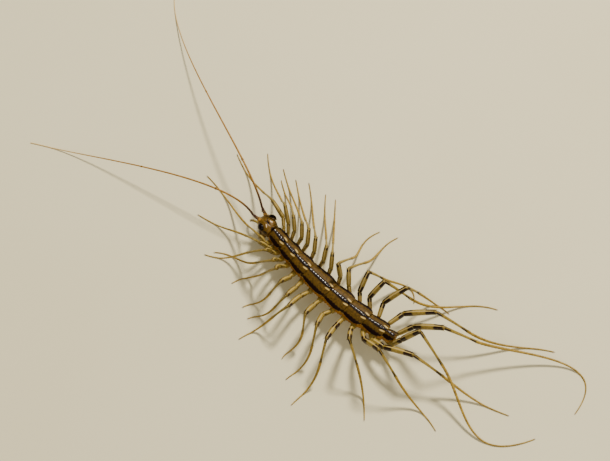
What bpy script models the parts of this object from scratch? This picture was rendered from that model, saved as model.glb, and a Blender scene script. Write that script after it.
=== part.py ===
"""House centipede, the whole animal at its real size, standing still on the floor.

The long body runs along Y with the head at +Y, and the animal's right side is +X. It is made
of a head, eight shell-plated trunk sections and thirty legs, each of them an object of its
own, with two eyes, two feelers, two palps and a pair of poison claws on the head. Every foot
and both feelers' ends lie on small flats at the height z = 0.

Shapes are worked out in millimetres and brought to metres as each object is finished.
"""

import bpy
import bmesh
from collections import namedtuple
from math import atan2, cos, hypot, pi, radians, sin
from mathutils import Matrix, Vector

MM = 0.001
GAP = 0.3

# The body's line: it bows a little to the left in the middle, and arches slightly.
BOW_PLACE = -1.0
BOW_LEFT = 0.2
BOW_FRONT = 0.0065
BOW_REAR = 0.0085
BACK_HEIGHT = 4.6
BACK_FALL = 0.0022
BODY_DEPTH = 2.75

# The shell plates of the back, from the head to the tail.
HEAD_REAR = 10.6
Tergite = namedtuple("Tergite", "rear half_width legs")
TERGITES = (
    Tergite(7.9, 1.45, 3),
    Tergite(5.3, 1.60, 2),
    Tergite(2.4, 1.70, 1),
    Tergite(-2.3, 1.75, 3),
    Tergite(-5.9, 1.65, 1),
    Tergite(-9.2, 1.50, 2),
    Tergite(-12.5, 1.25, 2),
    Tergite(-14.1, 0.85, 1),
)
PLATE_THICK = 0.35
PLATE_OVERHANG = 0.3
PLATE_ARCH = 0.75
PLATE_RIM = 0.10
PLATE_LIFT = 0.20
PLATE_CREST = 0.12
PLATE_CORNER = 0.35
PLATE_NOTCH = 0.45
PLATE_COLUMNS = 10
PLATE_ROWS = 5
CORE_SIDES = 16
CORE_WAIST = 0.12
CORE_SINK = 0.15

# The legs. Each one is a thick thigh in two lengths, a thinner shin and a long thin foot. A
# pair of radii is the first legs' and the last legs'.
HIP_PLACES = (
    10.2, 9.2, 8.2, 6.9, 5.6, 3.8, 2.0, 0.1, -2.0, -4.4, -6.5, -8.4, -10.1, -11.7, -13.3
)
HIP_OUT = 0.35
HIP_HEIGHT = 2.9
TAIL_HIPS = {-1: Vector((0.62, -14.4, 3.1)), 1: Vector((1.05, -13.75, 3.1))}
BOSS_SHARE = 0.5
BOSS_BACK = 0.45
TAIL_BOSS_DEPTH = 0.75
BOSS_SWELL = 1.12
LEG_SIDES = 6
HIP_RADII = (0.33, 0.40)
THIGH_RADII = (0.35, 0.44)
KNEE_RADII = (0.30, 0.36)
SHIN_RADII = (0.26, 0.29)
FOOT_RADIUS = 0.25
TIP_RADIUS = 0.14
PREFEMUR_SHARE = 0.34
KNEE_ROUND = 0.55
KNEE_SHARP = 0.6
SHIN_FRONT = 3.5
SHIN_REAR = 5.5
ANKLE_SHARE = 0.58
LANDING = 0.72
FOOT_RINGS = 8
HANDLE = 0.34
HOOK_HANDLE = 0.70
HOOK_TURN = 60

# The stance: where each knee and each foot stands from its own hip, away from the body and
# ahead, the turn of the shin and of the foot's end from the line between knee and foot, and how
# far the joint within the thigh stands in front of the thigh's line.
Stance = namedtuple(
    "Stance", "knee_out knee_ahead knee_height foot_out foot_ahead leave arrive bend"
)
RIGHT_LEGS = (
    Stance(0.8, 3.3, 6.4, 4.6, 15.4, 0, -5, -0.5),
    Stance(1.4, 2.1, 7.5, 8.2, 13.2, 0, -10, -0.2),
    Stance(1.5, 1.2, 6.6, 6.6, 9.3, -5, 0, -0.3),
    Stance(1.4, 0.6, 7.2, 8.2, 11.8, -5, 0, -0.4),
    Stance(1.7, 0.6, 6.7, 8.4, 10.4, 0, 0, -0.4),
    Stance(1.5, 0.7, 6.6, 9.5, 10.4, 0, 5, -0.2),
    Stance(1.4, 0.1, 7.2, 10.0, 9.0, 0, -5, -0.3),
    Stance(1.4, 0.7, 7.0, 10.5, 9.2, 0, 0, -0.2),
    Stance(0.7, 0.9, 7.4, 11.4, 2.8, -5, -30, -0.3),
    Stance(1.5, 1.9, 6.7, 12.7, 2.6, -5, -20, 0.1),
    Stance(3.0, 1.4, 7.3, 6.9, -4.6, 25, -85, 0.5),
    Stance(3.4, 0.6, 7.3, 14.7, -12.0, -15, -15, 1.0),
    Stance(4.9, -0.8, 7.7, 9.1, -5.8, 25, -40, 1.1),
    Stance(5.2, -4.6, 6.8, 15.5, -19.2, -10, -5, 1.1),
    Stance(3.7, -5.5, 8.6, 10.8, -25.8, 20, -100, 0.9),
)
LEFT_LEGS = (
    Stance(0.8, 0.7, 5.6, -2.3, 15.8, 0, -10, -0.2),
    Stance(1.6, 0.7, 6.2, 3.1, 12.8, 10, -5, -0.1),
    Stance(1.8, -0.1, 6.7, 6.8, 8.1, 5, 5, 0.2),
    Stance(2.0, -0.9, 7.0, 5.2, 8.7, -5, -25, 0.2),
    Stance(2.8, -1.2, 8.0, 6.6, 4.4, 15, -45, 0.4),
    Stance(3.1, -0.9, 6.6, 7.9, 2.2, -10, -20, -0.2),
    Stance(3.8, -1.2, 6.3, 8.5, 2.1, -10, -15, -0.1),
    Stance(4.6, -0.6, 6.0, 11.6, 2.5, 5, -15, 0.2),
    Stance(3.8, -1.2, 6.4, 9.2, -2.0, -25, -10, 0.0),
    Stance(4.2, -1.4, 6.9, 11.2, -2.4, -20, 10, 0.5),
    Stance(4.9, -1.7, 6.6, 13.7, -3.7, -15, 10, 0.1),
    Stance(3.0, -2.3, 7.3, 8.0, -10.7, -10, 15, 0.1),
    Stance(1.9, -5.0, 8.2, 2.3, -17.2, 0, 15, 0.6),
    Stance(-1.5, -6.8, 6.0, -6.6, -21.3, 0, -5, 0.5),
    Stance(-2.4, -2.8, 8.6, -5.1, -23.7, 10, -60, 0.0),
)
SIDES = {"left": -1, "right": 1}

# The head: rings from its rear to its front, as half width and half height about its middle.
HeadRing = namedtuple("HeadRing", "place half_width half_height middle")
HEAD_RINGS = (
    HeadRing(10.75, 1.15, 0.85, 3.15),
    HeadRing(11.20, 1.42, 1.00, 3.20),
    HeadRing(11.95, 1.60, 1.05, 3.25),
    HeadRing(12.75, 1.55, 1.00, 3.20),
    HeadRing(13.40, 1.25, 0.80, 3.10),
    HeadRing(13.85, 0.80, 0.50, 3.00),
)
HEAD_SIDES = 14
EYE_PLACE = Vector((1.16, 12.35, 3.72))
EYE_FACING = Vector((0.74, 0.28, 0.61)).normalized()
EYE_LONG = 0.62
EYE_HIGH = 0.46
EYE_BULGE = 0.42
EYE_SIDES = 12
SOCKET_PLACE = Vector((0.62, 13.35, 3.55))
SOCKET_RADIUS = 0.33
SOCKET_LENGTH = 0.55

# The feelers: one long whip each, which lifts from the head and comes down to the floor.
Feeler = namedtuple("Feeler", "out ahead leave arrive")
FEELERS = {"left": Feeler(15.0, 35.0, -30, -10), "right": Feeler(18.5, 40.5, 5, -30)}
FEELER_STUB = 0.7
FEELER_HANDLES = (0.15, 0.20)
FEELER_RISE = 2.6
FEELER_RADIUS = 0.27
FEELER_TIP = 0.13
FEELER_LANDING = 0.88
FEELER_RINGS = 18

# The poison claws, folded under the head, and the palps in front of them.
CLAW_ROOT = Vector((1.20, 11.80, 2.05))
CLAW_ELBOW = Vector((1.90, 12.25, 1.10))
CLAW_TIP = Vector((0.45, 13.90, 1.60))
CLAW_RADIUS = 0.36
PALP_ROOT = Vector((0.95, 13.95, 2.45))
PALP_ELBOW = Vector((1.30, 14.90, 2.20))
PALP_TIP = Vector((1.40, 15.50, 0.90))
PALP_RADIUS = 0.25
LIMB_RINGS = 7


def spine_x(y):
    """How far the body's middle lies to the right of the Y axis."""
    rate = BOW_FRONT if y > BOW_PLACE else BOW_REAR
    return rate * (y - BOW_PLACE) ** 2 - BOW_LEFT


def back_z(y):
    """The height of the back's middle line."""
    return BACK_HEIGHT - BACK_FALL * (y - BOW_PLACE) ** 2


def blend(a, b, t):
    """The value a share t of the way from a to b."""
    return a + (b - a) * t


def signed_power(value, power):
    """A power that keeps the value's sign, for rounded-square outlines."""
    return abs(value) ** power * (1 if value >= 0 else -1)


def skin(rings):
    """A closed mesh over a row of rings with equal numbers of points, flat at both ends."""
    bm = bmesh.new()
    rows = [[bm.verts.new(point) for point in ring] for ring in rings]
    count = len(rows[0])
    for low, high in zip(rows, rows[1:]):
        for k in range(count):
            following = (k + 1) % count
            bm.faces.new((low[k], low[following], high[following], high[k]))
    bm.faces.new(rows[0])
    bm.faces.new(rows[-1])
    bmesh.ops.recalc_face_normals(bm, faces=bm.faces)
    return bm


def tube_rings(points, radii, sides=LEG_SIDES):
    """Rings square to a path, each with one flat side underneath."""
    rings = []
    last = len(points) - 1
    for i, (point, radius) in enumerate(zip(points, radii)):
        ahead = (points[min(i + 1, last)] - points[max(i - 1, 0)]).normalized()
        across = ahead.cross(Vector((0, 0, 1))).normalized()
        above = across.cross(ahead)
        ring = []
        for k in range(sides):
            turn = 1.5 * pi + (k + 0.5) * 2 * pi / sides
            ring.append(point + radius * (cos(turn) * across + sin(turn) * above))
        rings.append(ring)
    return rings


def floor_height(radius, sides=LEG_SIDES):
    """The height of a tube's middle when its flat side lies on the floor."""
    return radius * cos(pi / sides)


def bezier(a, b, c, d, t):
    """A point on the cubic curve from a to d with the handles b and c."""
    s = 1 - t
    return s ** 3 * a + 3 * s * s * t * b + 3 * s * t * t * c + t ** 3 * d


def new_object(name, bm):
    """Put a mesh into the scene as an object."""
    mesh = bpy.data.meshes.new(name)
    bm.to_mesh(mesh)
    bm.free()
    piece = bpy.data.objects.new(name, mesh)
    bpy.context.scene.collection.objects.link(piece)
    return piece


def fuse(name, meshes):
    """Join closed meshes that overlap into one closed object."""
    base = new_object(name, meshes[0])
    others = bpy.data.collections.new(name + "_pieces")
    for number, bm in enumerate(meshes[1:]):
        piece = new_object(f"{name}_piece_{number}", bm)
        bpy.context.scene.collection.objects.unlink(piece)
        others.objects.link(piece)
    bpy.context.scene.collection.children.link(others)
    union = base.modifiers.new("union", "BOOLEAN")
    union.operation = "UNION"
    union.operand_type = "COLLECTION"
    union.collection = others
    union.solver = "EXACT"
    bpy.context.view_layer.update()
    graph = bpy.context.evaluated_depsgraph_get()
    joined = bpy.data.meshes.new_from_object(base.evaluated_get(graph))
    base.modifiers.clear()
    base.data = joined
    for piece in list(others.objects):
        bpy.data.objects.remove(piece)
    bpy.data.collections.remove(others)
    keep_largest(joined)
    return base


def keep_largest(mesh):
    """Drop every loose surface but the largest one."""
    bm = bmesh.new()
    bm.from_mesh(mesh)
    unseen = set(bm.verts)
    shells = []
    while unseen:
        start = unseen.pop()
        shell = {start}
        front = [start]
        while front:
            vert = front.pop()
            for edge in vert.link_edges:
                other = edge.other_vert(vert)
                if other in unseen:
                    unseen.remove(other)
                    shell.add(other)
                    front.append(other)
        shells.append(shell)
    shells.sort(key=len)
    for shell in shells[:-1]:
        bmesh.ops.delete(bm, geom=list(shell), context="VERTS")
    bm.to_mesh(mesh)
    bm.free()


def finish(piece, material):
    """Bring an object from millimetres to metres, with its material and smooth shading."""
    mesh = piece.data
    mesh.transform(Matrix.Scale(MM, 4))
    mesh.materials.clear()
    mesh.materials.append(material)
    mesh.shade_smooth()
    mesh.set_sharp_from_angle(angle=radians(40))
    return piece


def cuticle(name, color, roughness):
    """The material of one kind of shell."""
    material = bpy.data.materials.new(name)
    material.use_nodes = True
    shader = material.node_tree.nodes["Principled BSDF"]
    shader.inputs["Base Color"].default_value = (*color, 1)
    shader.inputs["Roughness"].default_value = roughness
    shader.inputs["Metallic"].default_value = 0
    return material


def tergite_front(index):
    """Where a trunk section begins, at its front."""
    return TERGITES[index - 1].rear if index else HEAD_REAR


def hip_places():
    """The trunk section and the place along the body of each leg pair, from the front."""
    sections = [index for index, tergite in enumerate(TERGITES) for _ in range(tergite.legs)]
    return list(zip(sections, HIP_PLACES))


HIPS = hip_places()


def leg_share(number):
    """How far down the row a leg stands, from 0 at the first pair to 1 at the last."""
    return (number - 1) / (len(HIPS) - 1)


def grown(pair, number):
    """A radius that grows evenly from the first pair of legs to the last."""
    return blend(pair[0], pair[1], leg_share(number))


def hip(side, number):
    """Where a leg's root meets the body."""
    if number == len(HIPS):
        place = TAIL_HIPS[side]
        return Vector((spine_x(place.y) + side * place.x, place.y, place.z))
    index, y = HIPS[number - 1]
    return Vector((spine_x(y) + side * (TERGITES[index].half_width + HIP_OUT), y, HIP_HEIGHT))


def stance(side, number):
    """The stance of one leg."""
    return (RIGHT_LEGS if side > 0 else LEFT_LEGS)[number - 1]


def knee(side, number):
    """The top of a leg, where the thigh meets the shin."""
    pose = stance(side, number)
    root = hip(side, number)
    return Vector((root.x + side * pose.knee_out, root.y + pose.knee_ahead, pose.knee_height))


def thigh_bend(side, number):
    """The joint between the thigh's two lengths, a little in front of or behind its line."""
    root = hip(side, number)
    chord = knee(side, number) - root
    in_front = Vector((-side * chord.y, side * chord.x, 0)).normalized()
    return root + chord * PREFEMUR_SHARE + in_front * stance(side, number).bend


def hip_direction(side, number):
    """The way a leg leaves the body."""
    return (thigh_bend(side, number) - hip(side, number)).normalized()


def leg_path(side, number):
    """The middle line of one leg and its radius at each point."""
    pose = stance(side, number)
    root = hip(side, number)
    start = root + GAP * hip_direction(side, number)
    bend = thigh_bend(side, number)
    top = knee(side, number)
    points = [start, blend(start, bend, 0.5), bend, blend(bend, top, 0.4)]
    hip_radius, thigh_radius, knee_radius, shin_radius = (
        grown(pair, number) for pair in (HIP_RADII, THIGH_RADII, KNEE_RADII, SHIN_RADII)
    )
    radii = [hip_radius, thigh_radius, 0.92 * thigh_radius, thigh_radius]

    run = Vector((pose.foot_out - pose.knee_out, pose.foot_ahead - pose.knee_ahead))
    heading = atan2(run.y, run.x)
    shin = blend(SHIN_FRONT, SHIN_REAR, leg_share(number) ** 3)
    drop = (1 - ANKLE_SHARE) * top.z
    reach = min(max(shin ** 2 - drop ** 2, 0) ** 0.5 + 0.8, 0.3 * run.length)
    out = heading + radians(pose.leave)
    ankle = top + Vector((side * reach * cos(out), reach * sin(out), -drop))

    fold = (bend - top).angle(ankle - top)
    rounding = KNEE_ROUND * max(1, KNEE_SHARP / sin(fold / 2))
    before = top + (bend - top).normalized() * rounding
    after = top + (ankle - top).normalized() * rounding
    points += [before, 0.25 * before + 0.5 * top + 0.25 * after, after]
    radii += [knee_radius, knee_radius, 1.1 * shin_radius]
    points += [blend(after, ankle, 0.5), ankle]
    radii += [shin_radius, shin_radius]

    foot = Vector((root.x + side * pose.foot_out, root.y + pose.foot_ahead, 0))
    span = hypot(foot.x - ankle.x, foot.y - ankle.y)
    into = heading + radians(pose.arrive)
    hook = HANDLE + (HOOK_HANDLE - HANDLE) * min(1, abs(pose.arrive) / HOOK_TURN)
    leaving = ankle + HANDLE * span * Vector((side * cos(out), sin(out), 0))
    arriving = foot - hook * span * Vector((side * cos(into), sin(into), 0))
    for k in range(1, FOOT_RINGS + 1):
        t = k / FOOT_RINGS
        radius = FOOT_RADIUS if k < FOOT_RINGS else TIP_RADIUS
        point = bezier(ankle, leaving, arriving, foot, t)
        fall = max(0, 1 - t / LANDING)
        rest = floor_height(radius)
        point.z = rest + (ankle.z - rest) * fall ** 1.6
        points.append(point)
        radii.append(radius)
    return points, radii


def make_leg(label, number, material):
    """One leg, from the gap at its hip to its tip on the floor."""
    side = SIDES[label]
    points, radii = leg_path(side, number)
    piece = new_object(f"leg_{label}_{number:02d}", skin(tube_rings(points, radii)))
    return finish(piece, material)


def core_mesh(front, rear, half_width, taper):
    """The round body under one plate, a little narrower at both ends."""
    rings = []
    width = half_width - PLATE_OVERHANG
    height = (BODY_DEPTH - CORE_SINK) / 2
    for share, shrink in ((0, CORE_WAIST), (0.15, 0), (0.85, 0), (1, CORE_WAIST + taper)):
        y = blend(front, rear, share)
        middle = back_z(y) - CORE_SINK - height
        ring = []
        for k in range(CORE_SIDES):
            turn = 2 * pi * k / CORE_SIDES
            x = spine_x(y) + (width - shrink) * signed_power(cos(turn), 0.85)
            z = middle + (height - shrink) * signed_power(sin(turn), 0.85)
            ring.append(Vector((x, y, z)))
        rings.append(ring)
    return skin(rings)


def plate_point(u, v, front, rear, half_width):
    """A point on a shell plate's upper face, u across it and v from its front to its rear."""
    corner = PLATE_CORNER * max(0, abs(u) - 0.7) / 0.3
    notch = PLATE_NOTCH if abs(u) < 0.01 else 0
    start = front - 0.6 * corner
    end = rear + corner + notch
    y = blend(start, end, v)
    x = spine_x(y) + u * half_width * (1 - 0.08 * (1 - v) ** 2)
    rim = PLATE_RIM * max(0, abs(u) - 0.7) / 0.3
    crest = PLATE_CREST * max(0, 1 - abs(u) / 0.35)
    z = back_z(y) - PLATE_ARCH * abs(u) ** 2.2 + rim + crest + PLATE_LIFT * v ** 1.5
    return Vector((x, y, z))


def plate_mesh(front, rear, half_width):
    """One shell plate, a curved slab of even thickness."""
    bm = bmesh.new()
    layers = []
    for depth in (0, PLATE_THICK):
        grid = []
        for i in range(PLATE_ROWS + 1):
            row = []
            for j in range(PLATE_COLUMNS + 1):
                u = 2 * j / PLATE_COLUMNS - 1
                point = plate_point(u, i / PLATE_ROWS, front, rear, half_width)
                row.append(bm.verts.new(point - Vector((0, 0, depth))))
            grid.append(row)
        layers.append(grid)
        for i in range(PLATE_ROWS):
            for j in range(PLATE_COLUMNS):
                corners = (grid[i][j], grid[i][j + 1], grid[i + 1][j + 1], grid[i + 1][j])
                bm.faces.new(corners)
    top, under = layers
    rims = [(top[0], under[0]), (top[-1], under[-1])]
    rims += [([row[j] for row in top], [row[j] for row in under]) for j in (0, -1)]
    for upper, lower in rims:
        for k in range(len(upper) - 1):
            bm.faces.new((upper[k], upper[k + 1], lower[k + 1], lower[k]))
    bmesh.ops.recalc_face_normals(bm, faces=bm.faces)
    return bm


def boss_mesh(anchor, root, direction, radius):
    """A short swollen stub, from inside the body to a flat round face at a limb's root."""
    inner = tube_rings([anchor, root], [radius * BOSS_SWELL, radius])[0]
    outer = tube_rings([root - direction, root], [radius, radius])[1]
    bm = bmesh.new()
    for point in inner + outer:
        bm.verts.new(point)
    bmesh.ops.convex_hull(bm, input=list(bm.verts))
    loose = [vert for vert in bm.verts if not vert.link_faces]
    bmesh.ops.delete(bm, geom=loose, context="VERTS")
    return bm


def boss_anchor(side, number):
    """The place inside the body where a leg's stub begins."""
    root = hip(side, number)
    index, y = HIPS[number - 1]
    margin = GAP / 2 + grown(HIP_RADII, number) * BOSS_SWELL
    y -= BOSS_BACK * hip_direction(side, number).y
    if number == len(HIPS):
        y = TERGITES[index].rear + TAIL_BOSS_DEPTH
    y = min(max(y, TERGITES[index].rear + margin), tergite_front(index) - margin)
    return Vector((blend(root.x, spine_x(y), BOSS_SHARE), y, root.z))


def make_trunk(index, material):
    """One trunk section: its round core, its shell plate and a stub for each of its legs."""
    tergite = TERGITES[index]
    front = tergite_front(index) - GAP / 2
    rear = tergite.rear + GAP / 2
    is_tail = index == len(TERGITES) - 1
    taper = 0.15 if is_tail else 0
    pieces = [
        core_mesh(front, rear, tergite.half_width, taper),
        plate_mesh(front, rear, tergite.half_width),
    ]
    for number, (section, _) in enumerate(HIPS, start=1):
        if section == index:
            for side in SIDES.values():
                root = hip(side, number)
                direction = hip_direction(side, number)
                anchor = boss_anchor(side, number)
                radius = grown(HIP_RADII, number)
                pieces.append(boss_mesh(anchor, root, direction, radius))
    name = "trunk_tail" if is_tail else f"trunk_{index + 1}"
    return finish(fuse(name, pieces), material)


def on_head(place, side):
    """A place on the head, given from the head's middle line, on the left or the right."""
    return Vector((spine_x(place.y) + side * place.x, place.y, place.z))


def sideways(direction, side):
    """A direction given for the right side, turned to the left or the right."""
    return Vector((side * direction.x, direction.y, direction.z)).normalized()


def feeler_direction(side):
    """The way a feeler leaves the head."""
    return sideways(Vector((0.25, 0.85, 0.45)), side)


def limb_points(root, elbow, tip):
    """A limb that swings from its root round an elbow to its tip."""
    points = []
    for k in range(LIMB_RINGS + 1):
        t = k / LIMB_RINGS
        points.append((1 - t) ** 2 * root + 2 * t * (1 - t) * elbow + t ** 2 * tip)
    return points


def limb_direction(root, elbow, side):
    """The way a poison claw or a palp leaves the head."""
    return (on_head(elbow, side) - on_head(root, side)).normalized()


def head_mesh():
    """The head's round case, cut flat where each eye sits."""
    rings = []
    for ring in HEAD_RINGS:
        points = []
        for k in range(HEAD_SIDES):
            turn = 2 * pi * k / HEAD_SIDES
            x = spine_x(ring.place) + ring.half_width * signed_power(cos(turn), 0.9)
            z = ring.middle + ring.half_height * signed_power(sin(turn), 0.9)
            points.append(Vector((x, ring.place, z)))
        rings.append(points)
    bm = skin(rings)
    for side in SIDES.values():
        everything = list(bm.verts) + list(bm.edges) + list(bm.faces)
        cut = bmesh.ops.bisect_plane(
            bm,
            geom=everything,
            plane_co=on_head(EYE_PLACE, side),
            plane_no=sideways(EYE_FACING, side),
            clear_outer=True,
        )
        rim = [item for item in cut["geom_cut"] if isinstance(item, bmesh.types.BMEdge)]
        bmesh.ops.edgenet_fill(bm, edges=rim)
    bmesh.ops.recalc_face_normals(bm, faces=bm.faces)
    return bm


def make_head(material):
    """The head's case with the stubs that carry the feelers, claws and palps."""
    pieces = [head_mesh()]
    for side in SIDES.values():
        direction = feeler_direction(side)
        inside = on_head(SOCKET_PLACE, side)
        socket = inside + direction * SOCKET_LENGTH
        pieces.append(boss_mesh(inside, socket, direction, SOCKET_RADIUS))
        for root, elbow, radius in (
            (CLAW_ROOT, CLAW_ELBOW, CLAW_RADIUS),
            (PALP_ROOT, PALP_ELBOW, PALP_RADIUS),
        ):
            place = on_head(root, side)
            direction = limb_direction(root, elbow, side)
            pieces.append(boss_mesh(place - direction, place, direction, radius))
    return finish(fuse("head", pieces), material)


def make_eye(label, material):
    """One eye, a low dome on a flat oval base."""
    side = SIDES[label]
    facing = sideways(EYE_FACING, side)
    along = (Vector((0, 1, 0)) - facing * facing.y).normalized()
    high = facing.cross(along)
    base = on_head(EYE_PLACE, side) + facing * GAP
    rings = []
    for share in (0, 0.45, 0.8, 1):
        width = max(cos(share * pi / 2), 0.2)
        rise = EYE_BULGE * sin(share * pi / 2)
        ring = []
        for k in range(EYE_SIDES):
            turn = 2 * pi * k / EYE_SIDES
            spot = EYE_LONG * width * cos(turn) * along + EYE_HIGH * width * sin(turn) * high
            ring.append(base + spot + facing * rise)
        rings.append(ring)
    return finish(new_object(f"eye_{label}", skin(rings)), material)


def make_feeler(label, material):
    """One feeler, from the gap at its socket to its tip on the floor."""
    side = SIDES[label]
    feeler = FEELERS[label]
    direction = feeler_direction(side)
    socket = on_head(SOCKET_PLACE, side) + direction * SOCKET_LENGTH
    start = socket + direction * GAP
    root = start + direction * FEELER_STUB
    tip = root + Vector((side * feeler.out, feeler.ahead, 0))
    heading = atan2(feeler.ahead, feeler.out)
    near, far = (share * hypot(feeler.out, feeler.ahead) for share in FEELER_HANDLES)
    out = heading - radians(feeler.leave)
    into = heading + radians(feeler.arrive)
    leaving = root + near * Vector((side * cos(out), sin(out), 0))
    arriving = tip - far * Vector((side * cos(into), sin(into), 0))
    points = [start]
    radii = [SOCKET_RADIUS]
    for k in range(FEELER_RINGS + 1):
        t = (k / FEELER_RINGS) ** 1.25
        radius = FEELER_RADIUS if k < FEELER_RINGS else FEELER_TIP
        point = bezier(root, leaving, arriving, tip, t)
        fall = max(0, 1 - t / FEELER_LANDING)
        rest = floor_height(radius)
        rise = FEELER_RISE * 27 / 4 * min(t / FEELER_LANDING, 1) * fall ** 2
        point.z = rest + (root.z - rest) * fall ** 1.3 + rise
        points.append(point)
        radii.append(radius)
    return finish(new_object(f"antenna_{label}", skin(tube_rings(points, radii))), material)


def make_limb(name, label, root, elbow, tip, radius, material):
    """A poison claw or a palp, tapering from its stub to its tip."""
    side = SIDES[label]
    start = on_head(root, side) + GAP * limb_direction(root, elbow, side)
    points = limb_points(start, on_head(elbow, side), on_head(tip, side))
    last = len(points) - 1
    radii = [blend(radius, TIP_RADIUS, (k / last) ** 2) for k in range(last + 1)]
    piece = new_object(f"{name}_{label}", skin(tube_rings(points, radii)))
    return finish(piece, material)


def stand_on_origin(pieces):
    """Move every object so that the origin lies under the middle of the animal's box."""
    places = [vert.co for piece in pieces for vert in piece.data.vertices]
    middle_x = (min(p.x for p in places) + max(p.x for p in places)) / 2
    middle_y = (min(p.y for p in places) + max(p.y for p in places)) / 2
    for piece in pieces:
        piece.data.transform(Matrix.Translation((-middle_x, -middle_y, 0)))


def main():
    """Build the whole animal."""
    for old in list(bpy.data.objects):
        bpy.data.objects.remove(old)
    brown = cuticle("back_plate_cuticle", (0.20, 0.11, 0.03), 0.35)
    amber = cuticle("leg_cuticle", (0.36, 0.22, 0.06), 0.45)
    orange = cuticle("head_cuticle", (0.40, 0.19, 0.05), 0.35)
    black = cuticle("eye_lens", (0.005, 0.004, 0.005), 0.15)
    russet = cuticle("feeler_cuticle", (0.30, 0.12, 0.03), 0.5)

    pieces = [make_head(orange)]
    pieces += [make_trunk(index, brown) for index in range(len(TERGITES))]
    for label in SIDES:
        pieces.append(make_eye(label, black))
        pieces.append(make_feeler(label, russet))
        pieces.append(
            make_limb("poison_claw", label, CLAW_ROOT, CLAW_ELBOW, CLAW_TIP, CLAW_RADIUS, orange)
        )
        pieces.append(
            make_limb("palp", label, PALP_ROOT, PALP_ELBOW, PALP_TIP, PALP_RADIUS, orange)
        )
        for number in range(1, len(HIPS) + 1):
            pieces.append(make_leg(label, number, amber))
    stand_on_origin(pieces)


main()
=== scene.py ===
# %% [markdown]
# # A house centipede, life size
#
# The plain model gives every part of the animal its place and size. This lesson dresses it:
# each plain solid is replaced by a finer piece that has the joints, ridges, spines, folds and
# colours of the real animal. A house centipede's shell is chitin, a thin horny skin that is
# finely pitted, lets a little light in where it is thin, and is marked with dark pigment.
#
# ## Load the plain model
#
# The plain model comes first, because every finer piece sits where a plain one is.

from collections import namedtuple
from math import cos, hypot, pi, radians, sin

import bmesh
import bpy
import numpy as np
from mathutils import Matrix, Vector


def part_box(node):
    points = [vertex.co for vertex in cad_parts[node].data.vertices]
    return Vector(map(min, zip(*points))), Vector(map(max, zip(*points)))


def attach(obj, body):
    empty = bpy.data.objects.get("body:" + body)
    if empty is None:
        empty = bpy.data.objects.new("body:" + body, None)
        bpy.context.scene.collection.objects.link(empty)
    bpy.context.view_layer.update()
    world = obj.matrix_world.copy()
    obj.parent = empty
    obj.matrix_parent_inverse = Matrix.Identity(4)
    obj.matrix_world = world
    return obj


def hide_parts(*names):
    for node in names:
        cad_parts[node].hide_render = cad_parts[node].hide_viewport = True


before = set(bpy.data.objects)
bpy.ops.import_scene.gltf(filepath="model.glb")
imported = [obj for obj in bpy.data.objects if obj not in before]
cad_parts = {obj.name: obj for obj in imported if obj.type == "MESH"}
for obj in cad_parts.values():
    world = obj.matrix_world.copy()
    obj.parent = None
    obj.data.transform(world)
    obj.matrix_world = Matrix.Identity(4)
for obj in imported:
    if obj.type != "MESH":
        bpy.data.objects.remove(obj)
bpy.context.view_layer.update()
print("nodes in the plain model:", len(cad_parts))

# %% [markdown]
# ## Measures
#
# All shapes are worked out in millimetres on the body's own line. The line bows a little to the
# left, at one rate in front and at another behind, and the line of the back arches slightly. A
# straight line would be simpler, but the living animal is never quite straight.

# %% The body's line
MM = 0.001
BOW_PLACE = -1.0
BOW_LEFT = 0.2
BOW_FRONT = 0.0065
BOW_REAR = 0.0085
BACK_HEIGHT = 4.6
BACK_FALL = 0.0022
BODY_DEPTH = 2.75


def spine_x(y):
    """How far the body's middle lies to the right at a place along it."""
    y = np.asarray(y, float)
    return np.where(y > BOW_PLACE, BOW_FRONT, BOW_REAR) * (y - BOW_PLACE) ** 2 - BOW_LEFT


def back_z(y):
    """The height of the back's middle line."""
    return BACK_HEIGHT - BACK_FALL * (np.asarray(y, float) - BOW_PLACE) ** 2


def blend(a, b, t):
    """The value a share t of the way from a to b."""
    return a + (b - a) * t


def flowing(t, places, values):
    """A smooth curve through values that are given at a few places."""
    places, values = np.asarray(places, float), np.asarray(values, float)
    slopes = np.gradient(values, places)
    i = np.clip(np.searchsorted(places, t) - 1, 0, len(places) - 2)
    step = places[i + 1] - places[i]
    s = np.clip((t - places[i]) / step, 0, 1)
    near = (1 + 2 * s) * (1 - s) ** 2 * values[i] + s * (1 - s) ** 2 * step * slopes[i]
    far = s * s * (3 - 2 * s) * values[i + 1] - s * s * (1 - s) * step * slopes[i + 1]
    return near + far


# %% The shell plates of the back, from the head to the tail
HEAD_REAR = 10.6
Tergite = namedtuple("Tergite", "rear half_width legs")
TERGITES = (
    Tergite(7.9, 1.45, 3),
    Tergite(5.3, 1.60, 2),
    Tergite(2.4, 1.70, 1),
    Tergite(-2.3, 1.75, 3),
    Tergite(-5.9, 1.65, 1),
    Tergite(-9.2, 1.50, 2),
    Tergite(-12.5, 1.25, 2),
    Tergite(-14.1, 0.85, 1),
)
TRUNK_NODES = [f"trunk_{number}" for number in range(1, len(TERGITES))] + ["trunk_tail"]
TAIL = len(TERGITES) - 1


def tergite_front(index):
    """Where a trunk section begins, at its front."""
    return TERGITES[index - 1].rear if index else HEAD_REAR


print("trunk length, mm:", round(HEAD_REAR - TERGITES[TAIL].rear, 1))

# %% [markdown]
# ## The frame's own origin
#
# The plain model stands with its origin under the middle of its box, so the body's line is
# shifted in it. The shift is read from plain pieces whose places on the line are known: the
# eyes, which sit evenly on both sides, and the head with its flat rear face.

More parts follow.
